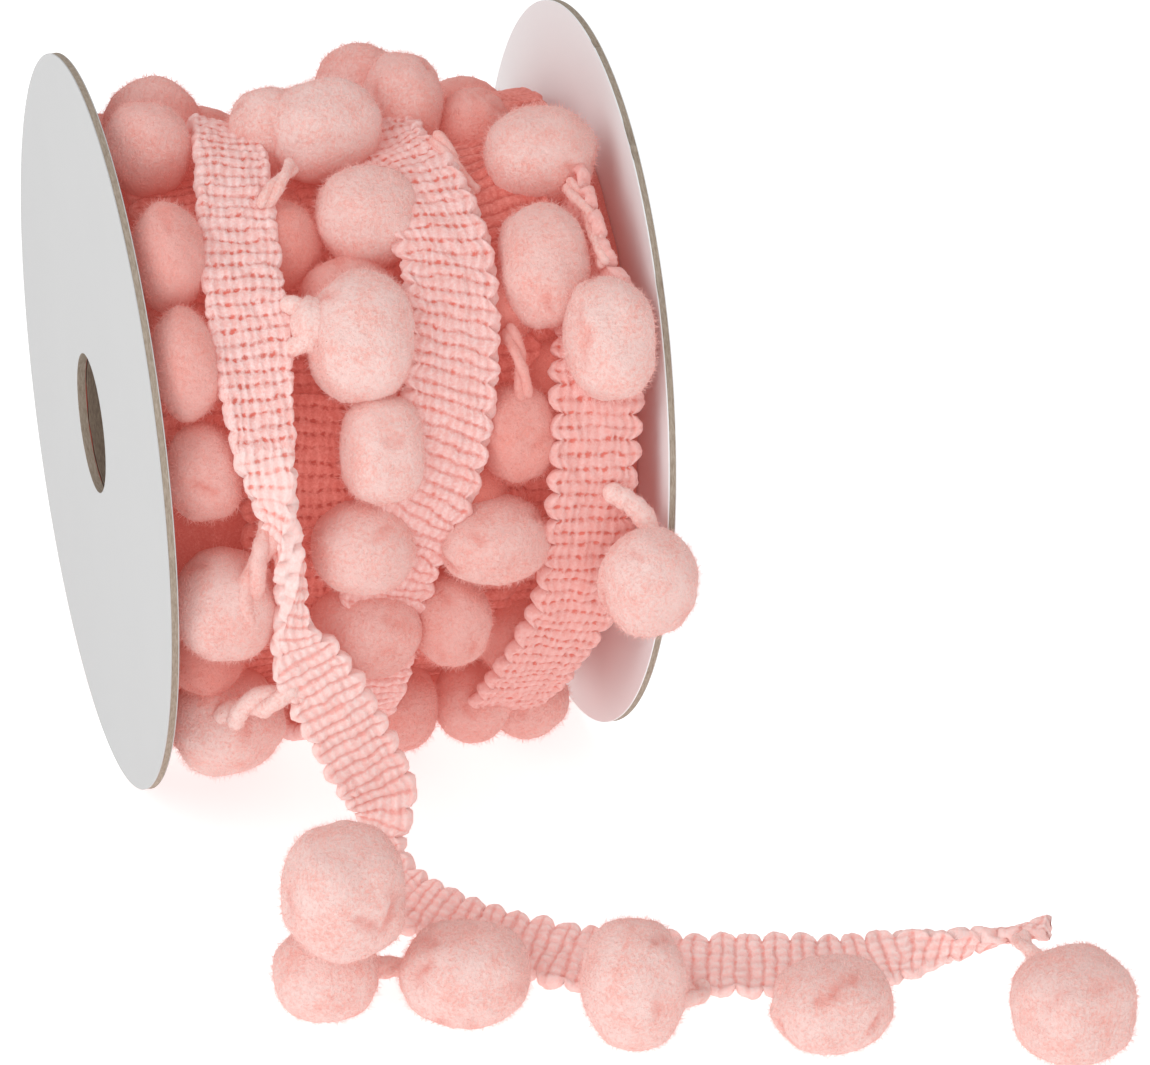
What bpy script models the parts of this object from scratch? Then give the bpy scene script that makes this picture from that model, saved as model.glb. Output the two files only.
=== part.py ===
"""Pompom fringe trim wound on a small cardboard reel, with its loose end lying in front.

The reel's axis runs along X. Angles on the reel are in degrees up from its front (-Y),
so 90 is its top and -90 the floor under it. "Side" is a place along the axis, counted
from the reel's middle, and "reach" is a distance out from the axis. Tables are in
millimetres and degrees; everything that is built is in metres, +Z up.
"""

import math
import random

import bmesh
import bpy
from mathutils import Matrix, Vector

MM = 0.001

# Reel
REEL_RADIUS = 52.5 * MM
REEL_WIDTH = 71.6 * MM
CARD_THICKNESS = 1.2 * MM
SPINDLE_RADIUS = 10.0 * MM
RIM_STEPS = 72
CORE_STEPS = 36
CORE_INNER_RADIUS = 9.6 * MM
CORE_WALL = 1.0 * MM
GAP = 0.3 * MM
# The right flange has bent: it leans outwards towards its top and its back
LEAN_UP = 0.029
LEAN_BACK = 0.0295
LEAN_SHIFT = 0.25 * MM

# Trim
TAPE_WIDTH = 12.0 * MM
TAPE_THICKNESS = 1.8 * MM
RIB_PITCH = 2.4 * MM
RIB_DEPTH = 0.5 * MM
SCALLOP_DEPTH = 0.5 * MM
PLAIN_STEP = 7.0 * MM
STEM_RADIUS = 1.3 * MM
POMPOM_SIZE = 15.0

# The inner turns: a barrel that sags a little, with soft hollows between its turns
BARREL_RADIUS = 40.5 * MM
BARREL_SAG = 1.5 * MM
BARREL_HOLLOW = 0.9 * MM
BARREL_TURN_PITCH = 14.0 * MM
BARREL_STEPS = 40
BARREL_ROWS = 8
# Share of the fused roll's triangles that stays once slivers at the joins are cleared
KEPT_SHARE = 0.6

# The rim is a polygon, and one of its flats is the foot that stands on the floor
AXIS_HEIGHT = REEL_RADIUS * math.cos(math.pi / RIM_STEPS)
INNER_FACE = REEL_WIDTH / 2 - CARD_THICKNESS
BODY_NAME = "pompom_fringe_trim"

COLOURS = {
    "tape_cotton": ((0.83, 0.44, 0.40), 0.9),
    "pompom_wool": ((0.87, 0.50, 0.46), 1.0),
    "grey_board": ((0.62, 0.61, 0.61), 0.75),
    "core_board": ((0.42, 0.35, 0.29), 0.85),
}

# Tape over the outer turns, from where the loose end leaves it, over the top and
# backwards round the reel: angle, side, reach, edge (0 lies flat, 90 stands on edge)
WOUND_TAPE = [
    (18, -21.0, 49.5, 0),
    (34, -21.2, 49.0, 0),
    (51, -19.8, 48.0, 0),
    (76, -17.0, 46.5, 0),
    (95, -15.0, 43.5, 0),
    (140, -12.0, 42.5, 0),
    (200, -9.0, 44.5, 0),
    (260, -7.5, 47.0, 0),
    (310, -7.0, 47.5, 0),
    (345, -5.0, 46.0, 0),
    (360, -1.8, 47.0, 0),
    (369, 1.5, 48.0, 0),
    (383, 4.8, 48.5, 0),
    (404, 7.3, 48.5, 0),
    (420, 5.9, 48.0, 8),
    (440, 4.0, 43.5, 20),
    (500, 8.0, 42.5, 0),
    (560, 11.0, 44.5, 0),
    (620, 14.0, 47.0, 0),
    (665, 15.5, 48.0, 0),
    (689, 17.8, 49.0, 0),
    (704, 21.4, 49.5, 0),
    (724, 23.6, 49.0, 0),
    (740, 25.2, 48.5, 5),
    (752, 27.0, 47.0, 40),
    (762, 28.2, 46.0, 84),
    (772, 28.2, 44.5, 84),
    (785, 26.5, 41.0, 60),
]
# Stretches of it whose ribs show: first angle, last angle
RIBBED_STRETCHES = [(18, 92), (350, 426), (680, 776)]

# Pompoms that show on the outer turns: side, angle, reach, across, along, out, lean
OUTER_POMPOMS = [
    (-23.0, 104, 40.0, 14.0, 13.0, 13.0, 0),
    (-27.8, 78, 44.0, 12.5, 13.0, 13.0, 0),
    (-29.4, 53, 46.0, 9.6, 15.0, 14.0, 0),
    (-29.8, 34, 45.5, 9.0, 15.5, 14.0, 0),
    (-28.8, 15, 43.4, 10.8, 13.5, 12.6, 0),
    (-27.2, -9, 46.3, 13.8, 15.5, 14.6, 10),
    (-28.5, -27, 42.0, 11.0, 12.0, 12.0, 0),
    (-25.2, -46, 45.5, 15.5, 14.0, 14.0, 0),
    (-7.5, 100, 39.5, 10.0, 12.0, 11.0, 0),
    (-3.7, 77, 46.5, 17.0, 14.0, 14.0, -15),
    (6.0, 98, 44.5, 12.5, 13.0, 12.0, 0),
    (10.0, 87, 44.0, 11.0, 15.0, 15.0, 0),
    (-0.9, 57, 45.0, 14.7, 14.4, 14.0, 0),
    (-13.5, 56, 42.0, 12.0, 12.5, 12.0, 0),
    (-5.4, 43, 42.0, 13.6, 12.0, 12.0, 0),
    (-6.3, 34, 49.0, 14.5, 18.0, 15.0, 10),
    (-5.1, 16, 48.0, 11.3, 15.0, 13.0, 5),
    (-8.0, -1, 46.5, 13.8, 13.0, 14.0, 0),
    (-6.9, -20, 45.0, 15.4, 14.8, 14.0, 15),
    (1.4, -52, 46.2, 10.5, 12.8, 12.8, 0),
    (19.3, 82, 41.0, 10.6, 12.0, 12.0, 0),
    (24.8, 65, 45.5, 16.0, 13.5, 14.0, 0),
    (21.1, 43, 46.5, 12.5, 17.4, 14.0, 5),
    (15.1, 38, 41.0, 10.0, 11.0, 12.0, 0),
    (14.7, 15, 44.0, 11.4, 13.3, 13.0, 0),
    (21.5, 23, 40.0, 9.0, 11.0, 11.0, 0),
    (8.6, 4, 41.0, 10.0, 9.0, 11.0, 0),
    (10.1, -3, 46.5, 15.8, 11.7, 13.0, 5),
    (5.0, -20, 45.5, 11.0, 14.4, 13.0, 0),
    (16.0, -33, 43.0, 10.0, 12.6, 12.0, 0),
    (12.0, -53, 46.7, 11.4, 12.3, 12.5, 0),
    (21.4, -60, 47.4, 12.1, 11.0, 11.5, 0),
    (27.3, 29, 51.0, 12.7, 17.3, 14.0, 0),
    (28.8, -5.8, 58.5, 13.3, 14.7, 14.0, 0),
]

# Columns of pompoms round the back of the reel: side, first angle, step, count, reach
BACK_COLUMNS = [
    (-26.3, 126, 21, 8, 42.5),
    (-14.0, 119, 25, 7, 42.0),
    (-1.0, 122, 22, 8, 42.5),
    (14.0, 120, 24, 7, 41.5),
    (26.3, 128, 21, 8, 42.0),
]
# How far they hang out underneath, lie in on the back of the top, and stray sideways
BACK_SAG = 2.5
TOP_DROP = 5.5
BACK_JITTER = 1.2
FLOOR_ROOM = 0.6

# Loose end, from the reel down to the floor and along it to its last pompom: place
# x, y, z, the way its face points fx, fy, fz, and its width and thickness there
LOOSE_TAPE = [
    (-21.0, -47.3, 67.2, 0.0, -0.95, 0.30, 10.0, 1.8),
    (-20.9, -49.6, 62.4, -0.45, -0.88, 0.15, 6.0, 2.2),
    (-20.0, -50.8, 56.5, -0.90, -0.40, 0.0, 3.8, 3.0),
    (-19.4, -51.1, 50.5, -0.80, 0.60, 0.0, 3.4, 3.2),
    (-19.4, -51.2, 44.5, -0.20, 0.98, 0.0, 3.6, 3.0),
    (-18.6, -51.2, 40.3, 0.0, 1.0, -0.05, 6.5, 2.4),
    (-16.9, -51.0, 36.8, 0.05, 0.99, -0.06, 9.0, 2.0),
    (-14.3, -51.0, 31.2, 0.05, 0.99, -0.06, 9.8, 1.8),
    (-11.0, -51.1, 23.8, 0.05, 0.99, -0.06, 9.8, 1.8),
    (-7.8, -51.0, 16.8, 0.12, 0.97, -0.18, 9.4, 1.8),
    (-6.2, -51.6, 13.0, 0.35, 0.85, -0.35, 9.0, 2.0),
    (-5.7, -53.2, 9.6, 0.60, 0.50, -0.60, 8.6, 2.2),
    (-5.9, -56.4, 6.4, 0.62, 0.20, -0.76, 8.6, 2.2),
    (-4.9, -60.6, 4.2, 0.50, 0.15, -0.85, 9.2, 2.0),
    (1.9, -71.8, 3.2, 0.28, 0.32, -0.90, 9.6, 1.8),
    (8.0, -77.7, 3.0, 0.18, 0.36, -0.92, 9.4, 1.8),
    (14.7, -81.5, 3.0, 0.14, 0.36, -0.92, 9.3, 1.8),
    (25.2, -84.7, 3.0, 0.10, 0.36, -0.92, 9.2, 1.8),
    (35.6, -88.0, 3.0, 0.06, 0.38, -0.92, 9.2, 1.8),
    (46.0, -91.0, 3.0, 0.05, 0.38, -0.92, 9.0, 1.8),
    (53.0, -91.6, 3.5, 0.0, 0.50, -0.86, 8.6, 2.0),
    (57.3, -92.0, 3.9, 0.0, 0.75, -0.60, 6.6, 2.2),
    (61.4, -92.4, 3.7, 0.0, 0.98, -0.20, 4.6, 2.6),
    (67.8, -94.0, 4.8, 0.0, 0.60, 0.80, 3.4, 2.8),
    (73.0, -98.2, 7.5, 0.0, -0.40, 0.90, 3.0, 2.8),
]

# Pompoms on the loose end: centre x, y, how far they stand off the floor, their sizes
# along X, along Y and up, a turn about Z, then the row of the loose tape where the stem
# starts, and at which edge. The first one sits on the second and dents it
LOOSE_POMPOMS = [
    (-21.2, -82.0, 9.0, 16.3, 15.4, 19.2, 10, 12.4, -1),
    (-23.6, -80.0, 0.0, 14.6, 14.0, 12.0, 0, 13.8, -1),
    (-5.0, -85.2, 0.0, 17.4, 14.0, 13.6, -20, 14.4, -1),
    (15.0, -97.0, 0.0, 13.6, 15.0, 17.6, 0, 17.2, -1),
    (39.8, -106.6, 0.0, 15.8, 14.6, 12.0, 0, 19.1, -1),
    (69.2, -117.0, 0.0, 16.6, 16.0, 15.4, 15, 23.5, 1),
]
# How far a pompom is pressed against what it lies on
PRESSED = 0.45
# Room between the loose tape's edge and a stem's end
STEM_ROOM = 1.4 * MM

# Stems that show on the wound turns: side, angle, reach at the tape's edge, then the
# same at the pompom
WOUND_STEMS = [
    (-13.8, 77, 47.5, -6.0, 74, 47.0),
    (-15.0, 34, 49.0, -10.5, 34, 49.0),
    (28.4, 3, 50.0, 28.9, -3, 55.5),
    (-20.0, 2, 47.0, -24.5, -5, 49.5),
    (-17.6, -35, 49.5, -22.0, -42, 49.0),
]


def on_reel(side, angle, reach):
    """Point at a side, an angle and a reach on the reel, in metres."""
    turn = math.radians(angle)
    across = -reach * math.cos(turn) * MM
    return Vector((side * MM, across, AXIS_HEIGHT + reach * math.sin(turn) * MM))


def reel_axes(angle):
    """Directions at an angle on the reel: along the axis, up the turn and outwards."""
    turn = math.radians(angle)
    up_turn = Vector((0, math.sin(turn), math.cos(turn)))
    outwards = Vector((0, -math.cos(turn), math.sin(turn)))
    return Vector((1, 0, 0)), up_turn, outwards


def clear_scene():
    for item in list(bpy.data.objects):
        bpy.data.objects.remove(item, do_unlink=True)


def make_material(name):
    colour, roughness = COLOURS[name]
    material = bpy.data.materials.new(name)
    material.use_nodes = True
    shader = material.node_tree.nodes["Principled BSDF"]
    shader.inputs["Base Color"].default_value = (*colour, 1)
    shader.inputs["Roughness"].default_value = roughness
    shader.inputs["Metallic"].default_value = 0
    return material


def add_object(name, mesh, collection):
    item = bpy.data.objects.new(name, mesh)
    collection.objects.link(item)
    return item


def object_from_bmesh(name, shape, collection):
    mesh = bpy.data.meshes.new(name)
    shape.to_mesh(mesh)
    shape.free()
    return add_object(name, mesh, collection)


def turned_ring(name, inner, outer, low_side, high_side, steps, collection):
    """Ring about the reel's axis, turned from its rectangular section."""
    shape = bmesh.new()
    corners = [(outer, high_side), (outer, low_side), (inner, low_side), (inner, high_side)]
    rim = [shape.verts.new((radius, 0, side)) for radius, side in corners]
    for first, second in zip(rim, rim[1:] + rim[:1]):
        shape.edges.new((first, second))
    ring = object_from_bmesh(name, shape, collection)
    screw = ring.modifiers.new("turn", "SCREW")
    screw.axis = "Z"
    screw.steps = steps
    screw.render_steps = steps
    screw.use_merge_vertices = True
    screw.merge_threshold = 0.00001
    # local Z goes to the reel's axis, and a flat of the polygon faces the floor
    half_step = math.pi / steps
    ring.matrix_world = (
        Matrix.Translation((0, 0, AXIS_HEIGHT))
        @ Matrix.Rotation(math.pi / 2, 4, "Y")
        @ Matrix.Rotation(half_step, 4, "Z")
    )
    return ring


def lean_right(ring):
    """Leans the right flange about the middle of its outer face."""
    pivot = Matrix.Translation((REEL_WIDTH / 2, 0, AXIS_HEIGHT))
    lean = Matrix.Rotation(-LEAN_BACK, 4, "Z") @ Matrix.Rotation(LEAN_UP, 4, "Y")
    shift = Matrix.Translation((LEAN_SHIFT, 0, 0))
    ring.matrix_world = shift @ pivot @ lean @ pivot.inverted() @ ring.matrix_world


def bend_at(place):
    """How far the leaning right flange lies along the axis at a point's height and depth."""
    return LEAN_SHIFT + LEAN_BACK * place[1] + LEAN_UP * (place[2] - AXIS_HEIGHT)


def follow_lean(place):
    """Moves a point of the wound turns along the axis, as far as the right flange bends."""
    share = max(0, place[0] / (INNER_FACE - GAP))
    return (place[0] + share * bend_at(place), place[1], place[2])


def barrel_radius(angle, side):
    """Reach of the inner turns, lower on top than underneath, and waisted between turns."""
    sag = -BARREL_SAG * math.sin(angle)
    lay = 2 * math.pi * side / BARREL_TURN_PITCH + angle
    wander = 0.5 * math.sin(3 * angle + side / (6 * MM))
    return BARREL_RADIUS + sag + BARREL_HOLLOW * (math.cos(lay) + wander)


def make_barrel(guides):
    """Ring of the inner turns, round the core tube and between the flanges."""
    shape = bmesh.new()
    end = INNER_FACE - GAP
    inner = CORE_INNER_RADIUS + CORE_WALL + GAP
    sides = [end - 2 * end * row / BARREL_ROWS for row in range(BARREL_ROWS + 1)]
    loops = []
    for side in sides:
        loop = []
        for step in range(BARREL_STEPS):
            angle = 2 * math.pi * step / BARREL_STEPS
            reach = barrel_radius(angle, side)
            place = (side, -reach * math.cos(angle), AXIS_HEIGHT + reach * math.sin(angle))
            loop.append(shape.verts.new(follow_lean(place)))
        loops.append(loop)
    for side in (sides[-1], sides[0]):
        loop = []
        for step in range(BARREL_STEPS):
            angle = 2 * math.pi * step / BARREL_STEPS
            place = (side, -inner * math.cos(angle), AXIS_HEIGHT + inner * math.sin(angle))
            loop.append(shape.verts.new(follow_lean(place)))
        loops.append(loop)
    for first, second in zip(loops, loops[1:] + loops[:1]):
        for step in range(BARREL_STEPS):
            after = (step + 1) % BARREL_STEPS
            shape.faces.new((first[step], first[after], second[after], second[step]))
    bmesh.ops.recalc_face_normals(shape, faces=shape.faces[:])
    return object_from_bmesh("wound_trim", shape, guides)


def soft_ball(name, axes, centre, sizes, detail, collection):
    """Pompom: a ball stretched to its three sizes along three directions."""
    shape = bmesh.new()
    bmesh.ops.create_icosphere(shape, subdivisions=detail, radius=0.5)
    for vertex in shape.verts:
        stretched = Vector(centre)
        for axis, size, share in zip(axes, sizes, vertex.co):
            stretched = stretched + axis * (share * size * MM)
        vertex.co = stretched
    return object_from_bmesh(name, shape, collection)


def reel_pompom(name, side, angle, reach, across, along, out, lean, collection):
    along_axis, up_turn, outwards = reel_axes(angle)
    swing = math.radians(lean)
    first = along_axis * math.cos(swing) - up_turn * math.sin(swing)
    second = along_axis * math.sin(swing) + up_turn * math.cos(swing)
    centre = on_reel(side, angle, reach)
    sizes = (across, along, out)
    return soft_ball(name, (first, second, outwards), centre, sizes, 2, collection)


def stem(name, start, end, collection):
    """Four-sided stem between a tape's edge and a pompom, as a closed mesh."""
    curve = bpy.data.curves.new(name, "CURVE")
    curve.dimensions = "3D"
    curve.bevel_depth = STEM_RADIUS
    curve.bevel_resolution = 0
    curve.use_fill_caps = True
    line = curve.splines.new("POLY")
    line.points.add(1)
    for point, place in zip(line.points, (start, end)):
        point.co = (*place, 1)
    tube = add_object(name + "_path", curve, collection)
    mesh = bpy.data.meshes.new_from_object(tube.evaluated_get(bpy.context.evaluated_depsgraph_get()))
    bpy.data.objects.remove(tube)
    shape = bmesh.new()
    shape.from_mesh(mesh)
    bmesh.ops.remove_doubles(shape, verts=shape.verts[:], dist=0.00001)
    bmesh.ops.recalc_face_normals(shape, faces=shape.faces[:])
    return object_from_bmesh(name, shape, collection)


def smooth_between(rows, place):
    """Row of a table at a fractional index, on a smooth curve through its rows."""
    index = min(int(place), len(rows) - 2)
    share = place - index
    near = [rows[max(0, min(len(rows) - 1, index + step))] for step in (-1, 0, 1, 2)]
    blended = []
    for before, start, end, after in zip(*near):
        slope = (end - before) / 2
        next_slope = (after - start) / 2
        cubic = 2 * (start - end) + slope + next_slope
        square = 3 * (end - start) - 2 * slope - next_slope
        blended.append(((cubic * share + square) * share + slope) * share + start)
    return blended


def ribbon(name, stations, collection):
    """Tape lofted through stations of (centre, face direction, width, thickness)."""
    shape = bmesh.new()
    loops = []
    for index, (centre, facing, width, thickness) in enumerate(stations):
        before = stations[max(0, index - 1)][0]
        after = stations[min(len(stations) - 1, index + 1)][0]
        forwards = (after - before).normalized()
        across = forwards.cross(facing).normalized()
        normal = across.cross(forwards)
        edge = across * (width / 2)
        lift = normal * (thickness / 2)
        corners = (centre + edge + lift, centre - edge + lift, centre - edge - lift, centre + edge - lift)
        loops.append([shape.verts.new(corner) for corner in corners])
    for first, second in zip(loops, loops[1:]):
        for corner in range(4):
            after = (corner + 1) % 4
            shape.faces.new((first[corner], second[corner], second[after], first[after]))
    shape.faces.new(loops[0])
    shape.faces.new(loops[-1][::-1])
    bmesh.ops.recalc_face_normals(shape, faces=shape.faces[:])
    return object_from_bmesh(name, shape, collection)


def rib_size(crest, width, thickness):
    """Width and thickness on a rib's crest, or in the hollow between two ribs."""
    if crest:
        return width + SCALLOP_DEPTH, thickness + RIB_DEPTH / 2
    return width - SCALLOP_DEPTH, thickness - RIB_DEPTH / 2


def walk(rows, measure, steps_per_row=12):
    """Fractional indices along a table, each with the length walked up to it."""
    track = [(0.0, 0.0)]
    last = measure(smooth_between(rows, 0))
    total = 0.0
    for step in range(1, (len(rows) - 1) * steps_per_row + 1):
        place = step / steps_per_row
        point = measure(smooth_between(rows, place))
        total += (point - last).length
        track.append((place, total))
        last = point
    return track


def index_at(track, length):
    for (place, walked), (next_place, next_walked) in zip(track, track[1:]):
        if next_walked >= length:
            share = (length - walked) / max(next_walked - walked, 1e-9)
            return place + (next_place - place) * share
    return track[-1][0]


def wound_point(row):
    angle, side, reach = row[:3]
    return on_reel(side, angle, reach)


def wound_tape_stations():
    """Stations of the tape on the reel, close together only where its ribs show."""
    track = walk(WOUND_TAPE, wound_point)
    stations = []
    length = 0.0
    crest = False
    while length < track[-1][1]:
        angle, side, reach, edge = smooth_between(WOUND_TAPE, index_at(track, length))
        along_axis, _, outwards = reel_axes(angle)
        lean = math.radians(edge)
        facing = outwards * math.cos(lean) - along_axis * math.sin(lean)
        width, thickness = TAPE_WIDTH, TAPE_THICKNESS
        step = PLAIN_STEP
        if any(low <= angle <= high for low, high in RIBBED_STRETCHES):
            crest = not crest
            width, thickness = rib_size(crest, width, thickness)
            step = RIB_PITCH / 2
        stations.append((on_reel(side, angle, reach), facing, width, thickness))
        length += step
    return stations


def loose_point(row):
    return Vector(row[:3]) * MM


def loose_tape_stations():
    track = walk(LOOSE_TAPE, loose_point)
    count = int(track[-1][1] / (RIB_PITCH / 2))
    stations = []
    for step in range(count + 1):
        row = smooth_between(LOOSE_TAPE, index_at(track, step * RIB_PITCH / 2))
        width, thickness = rib_size(step % 2 == 0, row[6] * MM, row[7] * MM)
        stations.append((loose_point(row), Vector(row[3:6]), width, thickness))
    return stations


def stem_root(place, edge):
    """Point beside an edge of the loose tape, at a fractional row of its table."""
    row = smooth_between(LOOSE_TAPE, place)
    before = loose_point(smooth_between(LOOSE_TAPE, place - 0.1))
    across = (loose_point(row) - before).normalized().cross(Vector(row[3:6])).normalized()
    root = loose_point(row) + across * edge * (row[6] * MM / 2 + STEM_ROOM)
    root.z = max(root.z, STEM_RADIUS)
    return root


def back_pompoms():
    """Rows like OUTER_POMPOMS for the back, lower on top and fuller underneath."""
    chance = random.Random(11)
    rows = []
    widest = (INNER_FACE - GAP) / MM
    for side, first, step, count, reach in BACK_COLUMNS:
        for index in range(count):
            angle = first + index * step + chance.uniform(-2, 2)
            height = math.sin(math.radians(angle))
            dropped = TOP_DROP * max(0, 1 - (angle - 112) / 34)
            out = reach - BACK_SAG * height - dropped + chance.uniform(-1, 1)
            sizes = [POMPOM_SIZE * chance.uniform(0.88, 1.06) for _ in range(3)]
            lowest = (AXIS_HEIGHT / MM - FLOOR_ROOM - max(sizes) / 2) / max(0.3, -height)
            out = min(out, lowest)
            limit = widest - max(sizes[:2]) / 2
            place = side + chance.uniform(-BACK_JITTER, BACK_JITTER)
            bend = min(0, bend_at(on_reel(place, angle, out + sizes[2] / 2))) / MM
            place = max(-limit, min(limit + bend, place))
            rows.append((place, angle, out, *sizes, chance.uniform(-25, 25)))
    return rows


def shells_of(shape):
    """Faces of a mesh, in groups that hang together."""
    waiting = set(shape.faces)
    shells = []
    while waiting:
        shell = {waiting.pop()}
        stack = list(shell)
        while stack:
            for edge in stack.pop().edges:
                for face in edge.link_faces:
                    if face in waiting:
                        waiting.discard(face)
                        shell.add(face)
                        stack.append(face)
        shells.append(shell)
    return shells


def drop_pockets(shape):
    """Removes the closed pockets between pompoms, whose faces point inwards."""
    for shell in shells_of(shape):
        inside = 0.0
        for face in shell:
            corners = [vertex.co for vertex in face.verts]
            for second, third in zip(corners[1:], corners[2:]):
                inside += corners[0].dot(second.cross(third))
        if inside < 0:
            bmesh.ops.delete(shape, geom=list(shell), context="FACES")


def part_lookalikes(shape):
    """Gives a middle point to each face whose diagonal another face may share."""
    chosen = []
    seen = set()
    for face in shape.faces:
        corners = face.verts[:]
        count = len(corners)
        pairs = [
            frozenset((corners[first], corners[second]))
            for first in range(count)
            for second in range(first + 2, count)
            if (second + 1) % count != first
        ]
        if any(pair in seen or shape.edges.get(tuple(pair)) for pair in pairs):
            chosen.append(face)
        seen.update(pairs)
    bmesh.ops.poke(shape, faces=chosen)


def make_wound_trim(parts, guides):
    """Barrel, tape, stems and pompoms of the wound turns, as one solid."""
    barrel = make_barrel(guides)
    pieces = bpy.data.collections.new("wound_pieces")
    guides.children.link(pieces)
    ribbon("wound_tape", wound_tape_stations(), pieces)
    for index, row in enumerate(OUTER_POMPOMS + back_pompoms()):
        reel_pompom("pompom_%02d" % index, *row, pieces)
    for index, row in enumerate(WOUND_STEMS):
        stem("stem_%d" % index, on_reel(*row[:3]), on_reel(*row[3:]), pieces)
    union = barrel.modifiers.new("fuse", "BOOLEAN")
    union.operation = "UNION"
    union.operand_type = "COLLECTION"
    union.collection = pieces
    union.solver = "EXACT"
    roll = finish_union(barrel, "wound_trim", parts)
    thin = roll.modifiers.new("clear_slivers", "DECIMATE")
    thin.ratio = KEPT_SHARE
    return roll


def finish_union(item, name, parts):
    """Mesh of an object and its Boolean, cleaned and linked as a part."""
    depsgraph = bpy.context.evaluated_depsgraph_get()
    mesh = bpy.data.meshes.new_from_object(item.evaluated_get(depsgraph))
    item.name = name + "_guide"
    shape = bmesh.new()
    shape.from_mesh(mesh)
    drop_pockets(shape)
    part_lookalikes(shape)
    bmesh.ops.triangulate(shape, faces=shape.faces[:])
    return object_from_bmesh(name, shape, parts)


def loose_ball_place(row):
    """Centre and axes of a pompom of the loose end, its underside pressed flat."""
    x, y, lift, _, _, tall, turn = row[:7]
    swing = math.radians(turn)
    axes = (
        Vector((math.cos(swing), math.sin(swing), 0)),
        Vector((-math.sin(swing), math.cos(swing), 0)),
        Vector((0, 0, 1)),
    )
    return Vector((x, y, lift + tall / 2 - PRESSED)) * MM, axes


def dent_under(ball, row):
    """Pushes the points of a pompom out of the one that sits on it."""
    centre, axes = loose_ball_place(row)
    for vertex in ball.data.vertices:
        out = vertex.co - centre
        shares = [out.dot(axis) / (size * MM / 2 + 2 * GAP) for axis, size in zip(axes, row[3:6])]
        depth = Vector(shares).length
        if depth < 1:
            vertex.co = centre + out / depth


def make_loose_pompom(index, row, parts, guides):
    """Pompom of the loose end with its stem."""
    wide, deep, tall, _, tape_row, edge = row[3:]
    centre, axes = loose_ball_place(row)
    name = "loose_pompom_%d" % index
    ball = soft_ball(name + "_ball", axes, centre, (wide, deep, tall), 3, guides)
    if index == 2:
        dent_under(ball, LOOSE_POMPOMS[0])
    for vertex in ball.data.vertices:
        vertex.co.z = max(vertex.co.z, 0)
    root = stem_root(tape_row, edge)
    towards = centre + Vector((0, 0, tall * 0.1 * MM))
    stalk = stem(name + "_stem", root, root.lerp(towards, 0.8), guides)
    union = ball.modifiers.new("fuse", "BOOLEAN")
    union.operation = "UNION"
    union.object = stalk
    union.solver = "EXACT"
    return finish_union(ball, name, parts)


def finish(item, material, parent):
    item.data.materials.clear()
    item.data.materials.append(material)
    item.data.shade_smooth()
    item.data.set_sharp_from_angle(angle=math.radians(35))
    item.parent = parent


def stand_over_origin(parent, items):
    """Moves the parent so that the middle of the whole outline is over the origin."""
    depsgraph = bpy.context.evaluated_depsgraph_get()
    corners = []
    for item in items:
        solid = item.evaluated_get(depsgraph)
        corners += [solid.matrix_world @ Vector(corner) for corner in solid.bound_box]
    for axis in (0, 1):
        places = [corner[axis] for corner in corners]
        parent.location[axis] = -(min(places) + max(places)) / 2


def main():
    clear_scene()
    scene = bpy.context.scene
    parts = bpy.data.collections.new(BODY_NAME)
    guides = bpy.data.collections.new("guides")
    scene.collection.children.link(parts)
    scene.collection.children.link(guides)
    materials = {name: make_material(name) for name in COLOURS}
    origin = add_object("origin", None, parts)

    flange_sides = {"flange_left": -1, "flange_right": 1}
    solids = []
    for name, direction in flange_sides.items():
        low, high = sorted((direction * INNER_FACE, direction * REEL_WIDTH / 2))
        flange = turned_ring(name, SPINDLE_RADIUS, REEL_RADIUS, low, high, RIM_STEPS, parts)
        solids.append((flange, "grey_board"))
    lean_right(solids[-1][0])
    end = INNER_FACE - GAP
    core_outer = CORE_INNER_RADIUS + CORE_WALL
    right_end = end + LEAN_SHIFT - (LEAN_UP + LEAN_BACK) * core_outer / math.sqrt(2)
    core = turned_ring(
        "core_tube", CORE_INNER_RADIUS, core_outer, -end, right_end, CORE_STEPS, parts
    )
    solids.append((core, "core_board"))
    solids.append((make_wound_trim(parts, guides), "pompom_wool"))
    solids.append((ribbon("loose_tape", loose_tape_stations(), parts), "tape_cotton"))
    for index, row in enumerate(LOOSE_POMPOMS, start=1):
        solids.append((make_loose_pompom(index, row, parts, guides), "pompom_wool"))

    for item in list(guides.all_objects):
        bpy.data.objects.remove(item, do_unlink=True)
    for item, material_name in solids:
        finish(item, materials[material_name], origin)
    stand_over_origin(origin, [item for item, _ in solids])


main()
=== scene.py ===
import math
import random

import bmesh
import bpy
import numpy as np
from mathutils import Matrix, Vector, noise


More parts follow.
